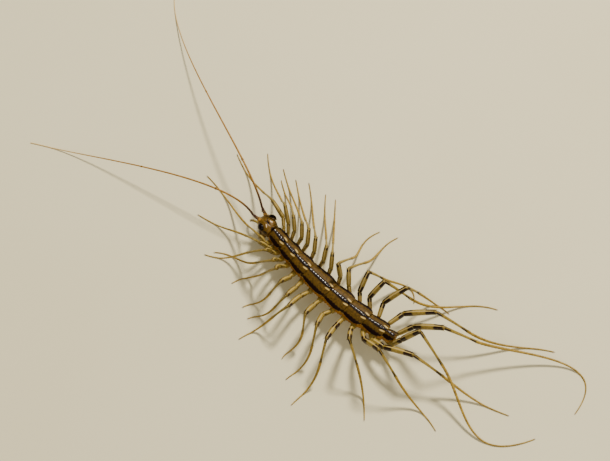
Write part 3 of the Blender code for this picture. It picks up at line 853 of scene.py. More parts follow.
belly = []
for index, y in HIPS:
    spacing = (tergite_front(index) - TERGITES[index].rear) / TERGITES[index].legs
    width = BELLY_WIDE * (TERGITES[index].half_width - PLATE_OVERHANG)
    belly.append(belly_plate(y, width, min(BELLY_LONG * spacing, BELLY_MOST)))
make_piece("belly_plates", joined(belly), leg_chitin, "back_plate_cuticle")
print("belly plates:", len(belly))

# %% [markdown]
# ## The legs
#
# A leg has a short hip, a ring, two thick thigh lengths, a thin shin and a long whip of a foot.
# Each length is narrow where it starts and flares where the next one hinges in it. Its outline
# has four low ridges that carry fine teeth, and each joint has a few long spurs. The lengths are
# closed tubes that sink into each other, so every joint shows a real step.

# %% Where a leg's joints stand
GAP = 0.3
HIP_DEPTH = 0.9
HIP_INSIDE = 0.55
PREFEMUR_SHARE = 0.34
SHIN_FRONT = 3.5
SHIN_REAR = 5.5
SHIN_SPARE = 0.8
SHIN_SHARE = 0.3
ANKLE_SHARE = 0.58
LANDING = 0.72
FOOT_FALL = 1.6
HANDLE = 0.34
HOOK_HANDLE = 0.70
HOOK_TURN = 60
Leg = namedtuple("Leg", "number inside root bend knee ankle foot leaving arriving")


def bezier(a, b, c, d, t):
    """Points on the cubic curve from a to d with the handles b and c."""
    s, t = 1 - t[:, None], t[:, None]
    return s**3 * a + 3 * s * s * t * b + 3 * s * t * t * c + t**3 * d


def leg_joints(side, number):
    """The places of one leg's joints, from inside the body to the foot's tip."""
    pose = STANCES[side][number - 1]
    root = hip(side, number)
    knee = root + np.array((side * pose.knee_out, pose.knee_ahead, pose.knee_height - root[2]))
    chord = knee - root
    in_front = unit((-side * chord[1], side * chord[0], 0))
    bend = root + chord * PREFEMUR_SHARE + in_front * pose.bend
    inside = root - HIP_DEPTH * unit(bend - root)
    inside[0] = blend(root[0], float(spine_x(root[1])), HIP_INSIDE)

    run = np.array((pose.foot_out - pose.knee_out, pose.foot_ahead - pose.knee_ahead))
    heading = np.arctan2(run[1], run[0])
    shin = blend(SHIN_FRONT, SHIN_REAR, leg_share(number) ** 3)
    drop = (1 - ANKLE_SHARE) * knee[2]
    reach = min(max(shin**2 - drop**2, 0) ** 0.5 + SHIN_SPARE, SHIN_SHARE * hypot(*run))
    out = heading + radians(pose.leave)
    ankle = knee + np.array((side * reach * cos(out), reach * sin(out), -drop))

    foot = np.array((root[0] + side * pose.foot_out, root[1] + pose.foot_ahead, 0))
    span = hypot(foot[0] - ankle[0], foot[1] - ankle[1])
    into = heading + radians(pose.arrive)
    hook = HANDLE + (HOOK_HANDLE - HANDLE) * min(1, abs(pose.arrive) / HOOK_TURN)
    leaving = ankle + HANDLE * span * np.array((side * cos(out), sin(out), 0))
    arriving = foot - hook * span * np.array((side * cos(into), sin(into), 0))
    return Leg(number, inside, root, bend, knee, ankle, foot, leaving, arriving)


def foot_path(leg, rows, tip_radius):
    """The middle line of the whip of a foot, which comes down and lies on the floor."""
    t = np.linspace(0, 1, rows)
    path = bezier(leg.ankle, leg.leaving, leg.arriving, leg.foot, t)
    fall = np.maximum(0, 1 - t / LANDING) ** FOOT_FALL
    path[:, 2] = tip_radius + (leg.ankle[2] - tip_radius) * fall
    return path


# %% The lengths of a leg
RIDGE_TURNS = tuple(radians(turn) for turn in (36, 144, 216, 324))
LEG_SIDES = 20
FEMUR_FRONT = 0.33
FEMUR_REAR = 0.44
BARRED_FROM = 10
BAR_EDGE = 0.06
RIDGE_HALF = 0.24
RIDGE_HIGH = 0.12
Length = namedtuple("Length", "part path radii")


def from_turn(turn, ridge):
    """How far a turn lies from a ridge, the short way round."""
    return np.abs((turn - ridge + pi) % (2 * pi) - pi)


def ridged(turn):
    """A leg's outline, with four low ridges."""
    ridges = sum(np.exp(-((from_turn(turn, ridge) / RIDGE_HALF) ** 2)) for ridge in RIDGE_TURNS)
    return 1 - RIDGE_HIGH / 2 + RIDGE_HIGH * ridges


def leg_length(start, end, radius, widths, bow=0.0, rows=30, **painted):
    """One length of a leg, along a line that bows a little upwards."""
    length = float(np.linalg.norm(end - start))
    places, ends = rounded(length, rows, 0.7 * radius, 0.9 * radius)
    share = places / length
    path = start + (end - start) * share[:, None]
    path[:, 2] += bow * np.sin(pi * share)
    radii = radius * flowing(share, *widths) * ends
    part = tube_part(path, radii, LEG_SIDES, ridged, share, **painted)
    return Length(part, path, radii)


def between(share, low, high):
    """A painted value for a band from one share of a length to another."""
    return soft_edge(np.abs(share - (low + high) / 2), (high - low) / 2, 2 * BAR_EDGE)


def on_ridges(turn, half_width):
    """A painted value for stripes along the ridges."""
    nearest = np.minimum.reduce([from_turn(turn, ridge) for ridge in RIDGE_TURNS])
    return soft_edge(nearest, half_width, 0.25)


# %% The spines of a leg
SPUR_TURNS = tuple(radians(turn) for turn in (55, 125, 200, 340))
SPUR_PLACE = 0.86
SPUR_THICK = 0.11
TEETH_FROM = 0.16
TEETH_TO = 0.82
TOOTH_THICK = 0.28


def surface_spot(length, share, turn):
    """A place on a length's surface, with the directions outwards and ahead."""
    row = int(round(share * (len(length.path) - 1)))
    ahead, across, above = (vectors[row] for vectors in path_frame(length.path))
    outward = cos(turn) * across + sin(turn) * above
    return length.path[row] + 0.9 * length.radii[row] * outward, outward, ahead


def spurs(length, size):
    """The long spines round the far end of a length."""
    roots, ways = [], []
    for turn in SPUR_TURNS:
        spot, outward, ahead = surface_spot(length, SPUR_PLACE, turn)
        roots.append(spot)
        ways.append(0.9 * ahead + 0.42 * outward)
    return thorns(roots, ways, size, SPUR_THICK * size, sides=6, dark=0.5)


def ridge_teeth(length, count, size):
    """The fine teeth along the four ridges of a length."""
    roots, ways = [], []
    for turn in RIDGE_TURNS:
        for share in np.linspace(TEETH_FROM, TEETH_TO, count):
            spot, outward, ahead = surface_spot(length, share, turn)
            roots.append(spot + 0.08 * length.radii.max() * outward)
            ways.append(0.7 * ahead + 0.7 * outward)
    return thorns(roots, ways, size, TOOTH_THICK * size, dark=0.35)


# %% [markdown]
# The pigment changes down the row. The front legs are gold, pale along the top, with a thin dark
# line along each ridge. From the eleventh pair on, both ends of the thigh and of the shin carry
# bold black bars, with the pale line left between them.
#
# Each length's widths are shares of its own thickness at a few places along it, and each starts
# a little inside the one before, so that no gap shows where they meet.

# %% Build one leg's thigh and shin
HIP_WIDTHS = (0, 0.5, 1), (1.1, 1.0, 0.92)
RING_WIDTHS = (0, 0.5, 1), (0.86, 1.0, 0.9)
PREFEMUR_WIDTHS = (0, 0.15, 0.5, 0.85, 1), (0.82, 0.90, 0.96, 1.04, 1.06)
FEMUR_WIDTHS = (0, 0.12, 0.35, 0.7, 0.9, 1), (0.88, 0.96, 1.0, 0.94, 0.88, 0.94)
SHIN_WIDTHS = (0, 0.1, 0.4, 0.85, 1), (1.05, 1.0, 0.86, 0.72, 0.82)
HIP_THICK = 1.18
RING_THICK = 0.86
PREFEMUR_THICK = 0.92
SHIN_THICK = 0.56
HIP_PAST = 0.04
RING_INSIDE = 0.12
RING_PAST = 0.10
BEND_PAST = 0.06
THIGH_SHARES = (-0.02, 1.02)
THIGH_BOW = 0.18
SHIN_BOW = 0.12
PLAIN_LINES = (0.72, 0.24)
BARRED_LINES = (0.45, 0.36)
HIP_BAND = (0.55, 0.8)
PREFEMUR_BAND = (0.66, 0.98)
THIGH_BARS = ((0.05, 0.32), (0.68, 0.99))
THIGH_TICK = (0.78, 1.0)
SHIN_BARS = ((-0.05, 0.20), (0.78, 1.1))
PALE_BAND = (0.1, 0.95)
BAR_HALF = 0.72
SHIN_BAR_HALF = 0.7
SHIN_LINE_HALF = 0.16
PALE_HALF = 0.34


def leg_limb(leg):
    """The hip, the ring, both thigh lengths and the shin of one leg."""
    share = leg_share(leg.number)
    thigh = blend(FEMUR_FRONT, FEMUR_REAR, share**1.2)
    barred = leg.number > BARRED_FROM
    lines, line_half = BARRED_LINES if barred else PLAIN_LINES

    def hip_dark(turn, row):
        """Faint dark marks on the hip's ridges."""
        return 0.45 * between(row, *HIP_BAND) * on_ridges(turn, 0.35)

    def prefemur_dark(turn, row):
        """The ridges' lines, and a bar at the far end of the thigh's first length."""
        far = between(row, *PREFEMUR_BAND) * on_ridges(turn, BAR_HALF) * (1.0 if barred else 0.5)
        return np.maximum(lines * on_ridges(turn, line_half), far)

    def femur_dark(turn, row):
        """The ridges' lines, with a bar at both ends or a small tick at the far one."""
        bars = np.maximum(*(between(row, *band) for band in THIGH_BARS))
        tick = blend(0.5, 1.0, share) * between(row, *THIGH_TICK)
        marks = (bars if barred else tick) * on_ridges(turn, BAR_HALF)
        return np.maximum(lines * on_ridges(turn, line_half), marks)

    def shin_dark(turn, row):
        """The ridges' lines, narrower here, and a bar at both ends."""
        bars = np.maximum(*(between(row, *band) for band in SHIN_BARS))
        marks = bars * (0.95 if barred else 0.45) * on_ridges(turn, SHIN_BAR_HALF)
        return np.maximum(lines * on_ridges(turn, SHIN_LINE_HALF), marks)

    def pale_back(turn, row):
        """The pale stripe along the top."""
        top = soft_edge(from_turn(turn, pi / 2), PALE_HALF, 0.4)
        return (0.66 if barred else 0.62) * top * between(row, *PALE_BAND)

    ahead = unit(leg.bend - leg.root)
    start = leg.root + GAP * ahead
    lengths = [
        leg_length(
            leg.inside, leg.root + HIP_PAST * ahead, HIP_THICK * thigh, HIP_WIDTHS,
            dark=hip_dark,
        ),
        leg_length(
            leg.root - RING_INSIDE * ahead, start + RING_PAST * ahead, RING_THICK * thigh,
            RING_WIDTHS, rows=14,
        ),
        leg_length(
            start - RING_PAST * ahead, leg.bend + BEND_PAST * ahead, PREFEMUR_THICK * thigh,
            PREFEMUR_WIDTHS, dark=prefemur_dark, pale=pale_back,
        ),
        leg_length(
            *(blend(leg.bend, leg.knee, end) for end in THIGH_SHARES), thigh,
            FEMUR_WIDTHS, bow=THIGH_BOW, rows=44, dark=femur_dark, pale=pale_back,
        ),
        leg_length(
            leg.knee, leg.ankle, SHIN_THICK * thigh, SHIN_WIDTHS, bow=SHIN_BOW, rows=40,
            dark=shin_dark,
        ),
    ]
    parts = [length.part for length in lengths]
    _, _, prefemur, femur, shin = lengths
    parts += [spurs(prefemur, 0.34 + 0.1 * share), spurs(femur, 0.46 + 0.12 * share)]
    parts += [spurs(shin, 0.36 + 0.1 * share), ridge_teeth(prefemur, 5, 0.07)]
    parts += [ridge_teeth(femur, 16, 0.08), ridge_teeth(shin, 18, 0.06)]
    return joined(parts)


# %% [markdown]
# The foot is a chain of dozens of tiny rings, each a little wider where the next one begins, so
# that it can curl round whatever the animal catches. It ends in one small dark claw.

# %% Build one leg's foot and claw
FOOT_SIDES = 10
FOOT_START = 0.20
FOOT_END = 0.07
FOOT_POINTS = 160
RING_LONG = 0.62
RING_SHORT = 0.30
RING_PROFILE = ((0.02, 0.84), (0.30, 0.98), (0.80, 1.10), (0.97, 1.06))
CHAIN_ENDS = (0.7, 0.6)
FOOT_POWER = 1.3
FOOT_JOINT_DARK = 0.42
LYING = 1.1
LEAST_HEIGHT = 1.15
BRISTLE_LENGTH = 0.13
BRISTLE_WIDTH = 0.014
CLAW_LENGTH = 0.34
CLAW_RADIUS = 0.05
CLAW_ARCH = 0.10


def along_path(path, distances):
    """Points on a path at given distances from its start."""
    steps = np.linalg.norm(np.diff(path, axis=0), axis=1)
    travelled = np.concatenate(((0,), np.cumsum(steps)))
    return np.stack([np.interp(distances, travelled, path[:, k]) for k in range(3)], -1)


def path_length(path):
    """The length of a path through points."""
    return float(np.linalg.norm(np.diff(path, axis=0), axis=1).sum())


def ring_edges(total, long, short):
    """Where a chain's rings begin, longer near its root than at its tip."""
    edges = [0.0]
    while edges[-1] < total:
        edges.append(edges[-1] + blend(long, short, min(edges[-1] / total * 1.6, 1)))
    return np.array(edges) * total / edges[-1]


def chain_part(path, start_radius, end_radius, long, short, sides, power, joint_dark):
    """A tube of many small rings, each flared towards the next, and where its rings begin."""
    total = path_length(path)
    edges = ring_edges(total, long, short)
    rings = [(0.0, CHAIN_ENDS[0], 0.0)]
    for low, high in zip(edges, edges[1:]):
        for place, width in RING_PROFILE:
            at_joint = place > 0.9 or place < 0.1
            rings.append((blend(low, high, place), width, float(at_joint)))
    rings.append((total, CHAIN_ENDS[1], 0.0))
    distances, flare, joint = np.array(rings).T
    radii = blend(start_radius, end_radius, (distances / total) ** power) * flare
    middle = along_path(path, distances)
    middle[:, 2] = np.maximum(middle[:, 2], LEAST_HEIGHT * end_radius)
    points, faces, painted = tube_part(middle, radii, sides)
    painted["dark"] = (joint_dark * joint).repeat(sides)
    return (points, faces, painted), edges


def leg_foot(leg):
    """The whip of a foot, with a short bristle beside every second ring."""
    start = FOOT_START * blend(0.85, 1.1, leg_share(leg.number))
    path = foot_path(leg, FOOT_POINTS, LYING * FOOT_END)
    path[0] = blend(leg.ankle, leg.knee, 0.02)
    part, edges = chain_part(
        path, start, FOOT_END, RING_LONG, RING_SHORT, FOOT_SIDES, FOOT_POWER, FOOT_JOINT_DARK
    )
    roots = along_path(path, edges[2:-1:2])
    roots[:, 2] = np.maximum(roots[:, 2], LEAST_HEIGHT * FOOT_END)
    ahead, across, above = path_frame(roots)
    thin = blend(start, FOOT_END, np.linspace(0.1, 1, len(roots)))[:, None]
    bristles = [
        thorns(
            roots + 0.8 * thin * aside, ahead + 0.5 * aside + 0.25 * above,
            BRISTLE_LENGTH, BRISTLE_WIDTH,
        )
        for aside in (across, -across)
    ]
    return joined([part] + bristles)


def leg_claw(leg):
    """The dark hooked claw at the foot's tip."""
    path = foot_path(leg, FOOT_POINTS, LYING * FOOT_END)
    ahead = unit(path[-1] - path[-3])
    t = np.linspace(0, 1, 10)
    radii = CLAW_RADIUS * np.sqrt(np.maximum(1 - t**1.5, 0.02))
    hook = path[-1] + (t[:, None] - 0.25) * CLAW_LENGTH * ahead
    arch = CLAW_ARCH * np.sin(pi * t) - 0.035 * t
    hook[:, 2] = np.maximum(hook[:, 2] + arch, radii)
    return tube_part(hook, radii, 8)


# %% Build all thirty legs
for label, side in SIDES.items():
    for number in range(1, LEGS + 1):
        leg = leg_joints(side, number)
        node = f"leg_{label}_{number:02d}"
        make_piece(f"{node}_limb", leg_limb(leg), leg_chitin, "leg_cuticle", node)
        make_piece(f"{node}_foot", leg_foot(leg), foot_chitin, "leg_cuticle", node)
        make_piece(f"{node}_claw", leg_claw(leg), claw_chitin, "leg_cuticle", node)
print("leg pieces:", sum(piece.name.startswith("leg_") for piece in pieces_made))

# %% [markdown]
# ## The head
#
# The head is a smooth rounded case, flatter on top, with a groove that forks behind the feelers,
# a raised brow round each eye, and a collar at its rear. It could be cut from a ball by
# sculpting. Here it is rings along the body's line, pushed in and out by soft mounds, because
# the mounds can be placed by their real sizes.

# %% The head's case
HeadRing = namedtuple("HeadRing", "place half_width half_height middle")
HEAD_RINGS = (
    HeadRing(10.70, 1.10, 0.80, 3.15),
    HeadRing(11.20, 1.42, 1.00, 3.20),
    HeadRing(11.95, 1.60, 1.05, 3.25),
    HeadRing(12.75, 1.55, 1.00, 3.20),
    HeadRing(13.40, 1.25, 0.80, 3.10),
    HeadRing(13.85, 0.80, 0.50, 3.00),
)
HEAD_ROWS = 90
HEAD_SIDES = 120
HEAD_NARROW = 0.88
HEAD_SQUARE = 0.9


def on_head(place, side):
    """A place given from the body's middle line, drawn in as the head is, on either side."""
    across = side * HEAD_NARROW * place[0]
    return np.array((float(spine_x(place[1])) + across, place[1], place[2]))


def mirrored(direction, side):
    """A direction given for the right side, turned to the left or the right."""
    return unit((side * direction[0], direction[1], direction[2]))


# %% [markdown]
# The head's marks and mounds are ovals on its top, the same on both sides. Each is given by how
# far out it lies, how far along the body, and its half width and half length in millimetres.

# %% Mounds and marks of the head
Oval = namedtuple("Oval", "out place wide long")
BROW = Oval(0.55, 13.1, 0.28, 0.35)
BROW_HIGH = 0.10
CHEEK = Oval(0.42, 12.0, 0.30, 0.45)
CHEEK_HIGH = 0.07
EYE_RING = Oval(1.02, 12.30, 0.62, 0.78)
STREAK = Oval(1.28, 11.45, 0.16, 0.45)
CROSS = Oval(0, 12.05, 0.20, 0.26)
NAPE = Oval(0, 10.9, 0.30, 0.30)
SHEEN = Oval(0.22, 12.55, 0.16, 0.22)
CRESCENT_HALF = 0.12
CRESCENT_FRONT = 12.15
CRESCENT_REAR = 11.65
CRESCENT_OUT = 0.85
STREAK_LEAN = 0.35
STREAK_REAR = 11.6
FORK_PLACE = 12.2
FORK_SPREAD = 0.55
ARM_PLACE = 12.48
ARM_HALF_LONG = 0.28
ARM_HALF_WIDE = 0.09
GROOVE_REAR = 11.3
GROOVE_FADE = 0.3
GROOVE_HALF = 0.06
GROOVE_DEPTH = 0.05
COLLAR_SWELL = (10.95, 0.10)
COLLAR_DIP = (11.15, 0.08)
COLLAR_HIGH = 0.06
COLLAR_LOW = 0.05


def from_oval(x, y, oval):
    """How far a point lies from an oval's middle, where 1 is its edge."""
    return np.hypot((x - oval.out) / oval.wide, (y - oval.place) / oval.long)


def mound(x, y, oval):
    """A soft mound over an oval, from 0 to 1."""
    return np.exp(-(from_oval(x, y, oval) ** 2))


def head_paint(x, y, fork, top):
    """The head's colour: a forked dark mark and a streak behind each eye, and painted highlights,
    which are pale crescents by the eyes and a sheen between them.
    """
    # The pale crescents by the eyes are painted highlights.
    crescent_glint = soft_edge(np.abs(from_oval(x, y, EYE_RING) - 1.0), CRESCENT_HALF, 0.16)
    crescent_glint = crescent_glint * soft_edge(y, CRESCENT_FRONT, 0.4) * soft_edge(-y, -CRESCENT_REAR, 0.2)
    crescent_glint = crescent_glint * soft_edge(x, CRESCENT_OUT, 0.3)
    streak = soft_edge(from_oval(x + STREAK_LEAN * (STREAK_REAR - y), y, STREAK), 1, 0.5)
    cross = soft_edge(from_oval(x, y, CROSS), 1, 0.5)
    arms = soft_edge(np.abs(x - fork), ARM_HALF_WIDE, 0.1)
    arms = arms * soft_edge(np.abs(y - ARM_PLACE), ARM_HALF_LONG, 0.12)
    nape = soft_edge(from_oval(x, y, NAPE), 1, 0.5)
    # The sheen between the eyes is a painted highlight.
    sheen = 0.45 * soft_edge(from_oval(x, y, SHEEN), 1, 0.8)
    dark = np.maximum.reduce((streak, cross, 0.9 * arms, 0.9 * nape)) * top
    return {"dark": dark.ravel(), "pale": (np.maximum(crescent_glint, sheen) * top).ravel()}


# %% Build the head's case
def head_case():
    """The head's points, faces and paint."""
    places = [ring.place for ring in HEAD_RINGS]
    share, ends = rounded(1.0, HEAD_ROWS, 0.10, 0.16)
    turn = (np.arange(HEAD_SIDES) * 2 * pi / HEAD_SIDES)[None]
    y = blend(places[0], places[-1], share)[:, None] + 0 * turn
    half_width, half_height, middle = (
        flowing(y, places, [ring[k] for ring in HEAD_RINGS]) for k in (1, 2, 3)
    )
    wide = HEAD_NARROW * half_width * ends[:, None]
    across = wide * signed_power(np.cos(turn), HEAD_SQUARE)
    up = half_height * ends[:, None] * signed_power(np.sin(turn), HEAD_SQUARE)
    x = np.abs(across)
    top = np.clip(np.sin(turn), 0, 1) ** 0.5
    fork = np.where(y > FORK_PLACE, FORK_SPREAD * (y - FORK_PLACE), 0)
    groove = np.exp(-(((x - fork) / GROOVE_HALF) ** 2))
    groove = groove * np.clip((y - GROOVE_REAR) / GROOVE_FADE, 0, 1)
    lift = BROW_HIGH * mound(x, y, BROW) + CHEEK_HIGH * mound(x, y, CHEEK) - GROOVE_DEPTH * groove
    swell, dip = (
        np.exp(-(((y - place) / half) ** 2)) for place, half in (COLLAR_SWELL, COLLAR_DIP)
    )
    collar = 1 + COLLAR_HIGH * swell - COLLAR_LOW * dip
    z = middle + up * collar + lift * top
    points = np.stack((spine_x(y) + across * collar, y, z), -1).reshape(-1, 3)
    return points, tube_faces(HEAD_ROWS, HEAD_SIDES), head_paint(x, y, fork, top)


head = make_piece("head_case", head_case(), head_chitin, "head_cuticle", "head")
print("head case faces:", len(head.data.polygons))

# %% [markdown]
# ## The eyes
#
# House centipedes and their near kin are the only centipedes with eyes like an insect's. Each
# eye is a low dome of more than a hundred and fifty six-sided lenses, here 0.085 mm wide. The
# dome is an oval grid of rings, and each lens is a bump round the nearest point of a honeycomb
# pattern.

# %% Build the eyes
EYE_FACING = (0.74, 0.28, 0.61)
EYE_LONG = 0.62
EYE_HIGH = 0.50
EYE_BULGE = 0.42
EYE_ROWS = 44
EYE_SIDES = 132
EYE_SINK = 0.22
LENS_WIDTH = 0.085
LENS_BULGE = 0.010
EYE_LIFT = 0.24
RIM_LIFT = 0.17
RIM_ROUND = 72
RIM_SIDES = 10
RIM_RADIUS = 0.09
RIM_OUTSIDE = (1.06, 1.08)


def eye_axes(side):
    """The way an eye faces, and the two directions along its oval base."""
    facing = mirrored(EYE_FACING, side)
    along = unit(np.array((0, 1, 0)) - facing * facing[1])
    return facing, along, np.cross(facing, along)


def lens_bumps(a, b):
    """The height of a honeycomb of lenses over a flat oval."""
    tall = LENS_WIDTH * 3**0.5
    nearest = np.full(a.shape, FAR_OFF)
    for shift_a, shift_b in ((0, 0), (LENS_WIDTH / 2, tall / 2)):
        near_a = (a - shift_a + LENS_WIDTH / 2) % LENS_WIDTH - LENS_WIDTH / 2
        near_b = (b - shift_b + tall / 2) % tall - tall / 2
        nearest = np.minimum(nearest, np.hypot(near_a, near_b))
    return LENS_BULGE * np.maximum(1 - (nearest / (0.6 * LENS_WIDTH)) ** 2, 0)


def compound_eye(side):
    """One eye, a faceted dome whose flat base is sunk into the head."""
    facing, along, high = eye_axes(side)
    share = np.linspace(0, 1, EYE_ROWS)[:, None]
    turn = (np.arange(EYE_SIDES) * 2 * pi / EYE_SIDES)[None]
    wide = np.maximum(np.cos(share * pi / 2), 0.004)
    a, b = EYE_LONG * wide * np.cos(turn), EYE_HIGH * wide * np.sin(turn)
    rise = EYE_BULGE * np.sin(share * pi / 2) + lens_bumps(a, b) * np.clip(8 * share, 0, 1)
    dome = a[..., None] * along + b[..., None] * high + rise[..., None] * facing
    base = on_head(EYE_PLACE, side) + facing * EYE_LIFT
    points = np.concatenate((dome[:1] - EYE_SINK * facing, dome)) + base
    return points.reshape(-1, 3), tube_faces(EYE_ROWS + 1, EYE_SIDES), {}


def eye_rim(side):
    """The raised brow that holds an eye, a ring round its oval base."""
    facing, along, high = eye_axes(side)
    turn = (np.arange(RIM_ROUND) * 2 * pi / RIM_ROUND)[:, None, None]
    around = (np.arange(RIM_SIDES) * 2 * pi / RIM_SIDES)[None, :, None]
    outward = np.cos(turn) * along + np.sin(turn) * high
    long, tall = RIM_OUTSIDE[0] * EYE_LONG, RIM_OUTSIDE[1] * EYE_HIGH
    ring = long * np.cos(turn) * along + tall * np.sin(turn) * high
    bead = RIM_RADIUS * (np.cos(around) * outward + 0.9 * np.sin(around) * facing)
    points = on_head(EYE_PLACE, side) + facing * RIM_LIFT + ring + bead
    at = np.arange(RIM_ROUND * RIM_SIDES).reshape(RIM_ROUND, RIM_SIDES)
    after = np.roll(at, -1, axis=0)
    quads = np.stack((at, np.roll(at, -1, axis=1), np.roll(after, -1, axis=1), after), -1)
    return points.reshape(-1, 3), quads.reshape(-1, 4).tolist(), {"dark": 0.42}


for label, side in SIDES.items():
    make_piece(f"eye_{label}", compound_eye(side), eye_lens, "eye_lens", f"eye_{label}")
    make_piece(f"eye_rim_{label}", eye_rim(side), head_chitin, "head_cuticle", "head")
lens_area = 3**0.5 / 2 * LENS_WIDTH**2
print("lenses in each eye, about:", round(pi * EYE_LONG * EYE_HIGH / lens_area))

# %% [markdown]
# ## The feelers
#
# Each feeler has two stout joints in a round socket and then a whip of about three hundred
# rings, dark red brown at its root, gold further out and pale at its tip. Two swollen rings
# part it into three lengths. It lifts off the head and its last part lies on the floor. The rise
# is a hump that is highest a third of the way along, where its formula comes to exactly 1.

# %% The feelers' line
SOCKET_PLACE = np.array((0.62, 13.35, 3.55))
SOCKET_LENGTH = 0.55
FEELER_FACING = (0.25, 0.85, 0.45)
Feeler = namedtuple("Feeler", "out ahead leave arrive")
FEELERS = {"left": Feeler(15.0, 35.0, -30, -10), "right": Feeler(18.5, 40.5, 5, -30)}
FEELER_STUB = 0.7
FEELER_POINTS = 300
FEELER_CROWDING = 1.25
FEELER_STUB_PLACES = (-0.2, 0.25, 0.6)
FEELER_HANDLES = (0.15, 0.20)
FEELER_RISE = 2.6
FEELER_LANDING = 0.88
FEELER_FALL = 1.3
FEELER_START = 0.185
FEELER_END = 0.06


def feeler_path(label):
    """The middle line of a feeler from its socket to its tip, and the socket's place and way."""
    side, feeler = SIDES[label], FEELERS[label]
    direction = mirrored(FEELER_FACING, side)
    socket = on_head(SOCKET_PLACE, side) + direction * SOCKET_LENGTH
    root = socket + direction * (GAP + FEELER_STUB)
    tip = root + np.array((side * feeler.out, feeler.ahead, 0))
    heading = np.arctan2(feeler.ahead, feeler.out)
    near, far = (share * hypot(feeler.out, feeler.ahead) for share in FEELER_HANDLES)
    out, into = heading - radians(feeler.leave), heading + radians(feeler.arrive)
    leaving = root + near * np.array((side * cos(out), sin(out), 0))
    arriving = tip - far * np.array((side * cos(into), sin(into), 0))
    t = np.linspace(0, 1, FEELER_POINTS) ** FEELER_CROWDING
    path = bezier(root, leaving, arriving, tip, t)
    gone = np.minimum(t / FEELER_LANDING, 1)
    rest = LYING * FEELER_END
    hump = 27 / 4 * gone * (1 - gone) ** 2
    path[:, 2] = rest + (root[2] - rest) * (1 - gone) ** FEELER_FALL + FEELER_RISE * hump
    stub = socket + direction * np.array(FEELER_STUB_PLACES)[:, None]
    return np.concatenate((stub, path)), socket, direction


# %% Build the feelers
FEELER_SIDES = 10
FEELER_RING = 0.15
SWOLLEN_RINGS = (0.20, 0.52)
SWOLLEN_LENGTH = 0.42
SWOLLEN_SHARE = 1.35
WHIP_POWER = 0.7
WHIP_DARK = (0, 0.03, 0.08, 0.16, 0.4, 1), (0.95, 0.85, 0.55, 0.36, 0.25, 0.10)
WHIP_PALE = (0, 0.4, 0.8, 1), (0.0, 0.15, 0.5, 0.8)
HAIR_LENGTH = 0.12
HAIR_WIDTH = 0.012
FEELER_BASE = ((-0.62, 0.02, 0.33, 0.35), (-0.12, 0.42, 0.27, 0.6), (0.34, 0.80, 0.235, 0.85))


def feeler_whip(label):
    """The ringed whip with its fine hairs."""
    path, _, _ = feeler_path(label)
    (points, faces, painted), edges = chain_part(
        path, FEELER_START, FEELER_END, FEELER_RING, 0.9 * FEELER_RING, FEELER_SIDES,
        WHIP_POWER, 0,
    )
    share = np.linspace(0, 1, len(points) // FEELER_SIDES).repeat(FEELER_SIDES)
    painted["dark"] = flowing(share, *WHIP_DARK)
    painted["pale"] = flowing(share, *WHIP_PALE)
    roots = along_path(path, edges[4:-1:2])
    ahead, across, above = path_frame(roots)
    along = np.linspace(0.1, 1, len(roots)) ** WHIP_POWER
    thin = blend(FEELER_START, FEELER_END, along)[:, None]
    hairs = [
        thorns(roots + 0.8 * thin * way, ahead + 0.8 * way, HAIR_LENGTH, HAIR_WIDTH, dark=0.3)
        for way in (across, -across, above)
    ]
    return joined([(points, faces, painted)] + hairs)


def feeler_base(label):
    """The socket's collar, the two stout joints and the whip's swollen rings."""
    path, socket, direction = feeler_path(label)
    parts = []
    for near, far, radius, dark in FEELER_BASE:
        places, ends = rounded(far - near, 18, 0.12, 0.14)
        middle = socket + direction * (near + places)[:, None]
        radii = radius * ends * (0.9 + 0.1 * places / (far - near))
        part = tube_part(middle, radii, 24)
        part[2]["dark"] = dark
        parts.append(part)
    total = path_length(path)
    for share in SWOLLEN_RINGS:
        radius = SWOLLEN_SHARE * blend(FEELER_START, FEELER_END, share**WHIP_POWER)
        places, ends = rounded(SWOLLEN_LENGTH, 12, 0.15, 0.15)
        part = tube_part(along_path(path, share * total + places), radius * ends, 14)
        part[2]["dark"] = 0.5
        parts.append(part)
    return joined(parts)


for label in SIDES:
    node = f"antenna_{label}"
    make_piece(f"{node}_whip", feeler_whip(label), feeler_chitin, "feeler_cuticle", node)
    make_piece(f"{node}_base", feeler_base(label), feeler_chitin, "feeler_cuticle", node)
    print(node, "length, mm:", round(path_length(feeler_path(label)[0]), 1))

# %% [markdown]
# ## The poison claws and the palps
#
# The first pair of trunk limbs has become a pair of poison claws, which fold under the head and
# meet in front of the mouth. Each is four joints, the last a long dark hook. The palps in front
# of them are short leg-like feelers with a brush of bristles. Both hang from a broad jaw plate.

# %% Build the poison claws
Limb = namedtuple("Limb", "root elbow tip")
POISON_CLAW = Limb((1.20, 11.80, 2.05), (1.90, 12.25, 1.10), (0.45, 13.90, 1.60))
HOOK_FROM = 0.52
HOOK_RADIUS = 0.26
JOINT_ROWS = 20
JOINT_SIDES = 20


def swing(limb, side, t):
    """Points on a limb that swings from its root round its elbow to its tip."""
    root, elbow, tip = (on_head(place, side) for place in limb)
    t = np.asarray(t, float)[:, None]
    return (1 - t) ** 2 * root + 2 * t * (1 - t) * elbow + t**2 * tip


def limb_joint(limb, side, low, high, radii, dark=0.0):
    """One joint of a claw or palp between two shares of its swing."""
    share, ends = rounded(1.0, JOINT_ROWS, 0.25, 0.25)
    middle = swing(limb, side, blend(low, high, share))
    part = tube_part(middle, blend(*radii, share) * ends, JOINT_SIDES)
    part[2]["dark"] = dark * share.repeat(JOINT_SIDES) ** 2
    return part


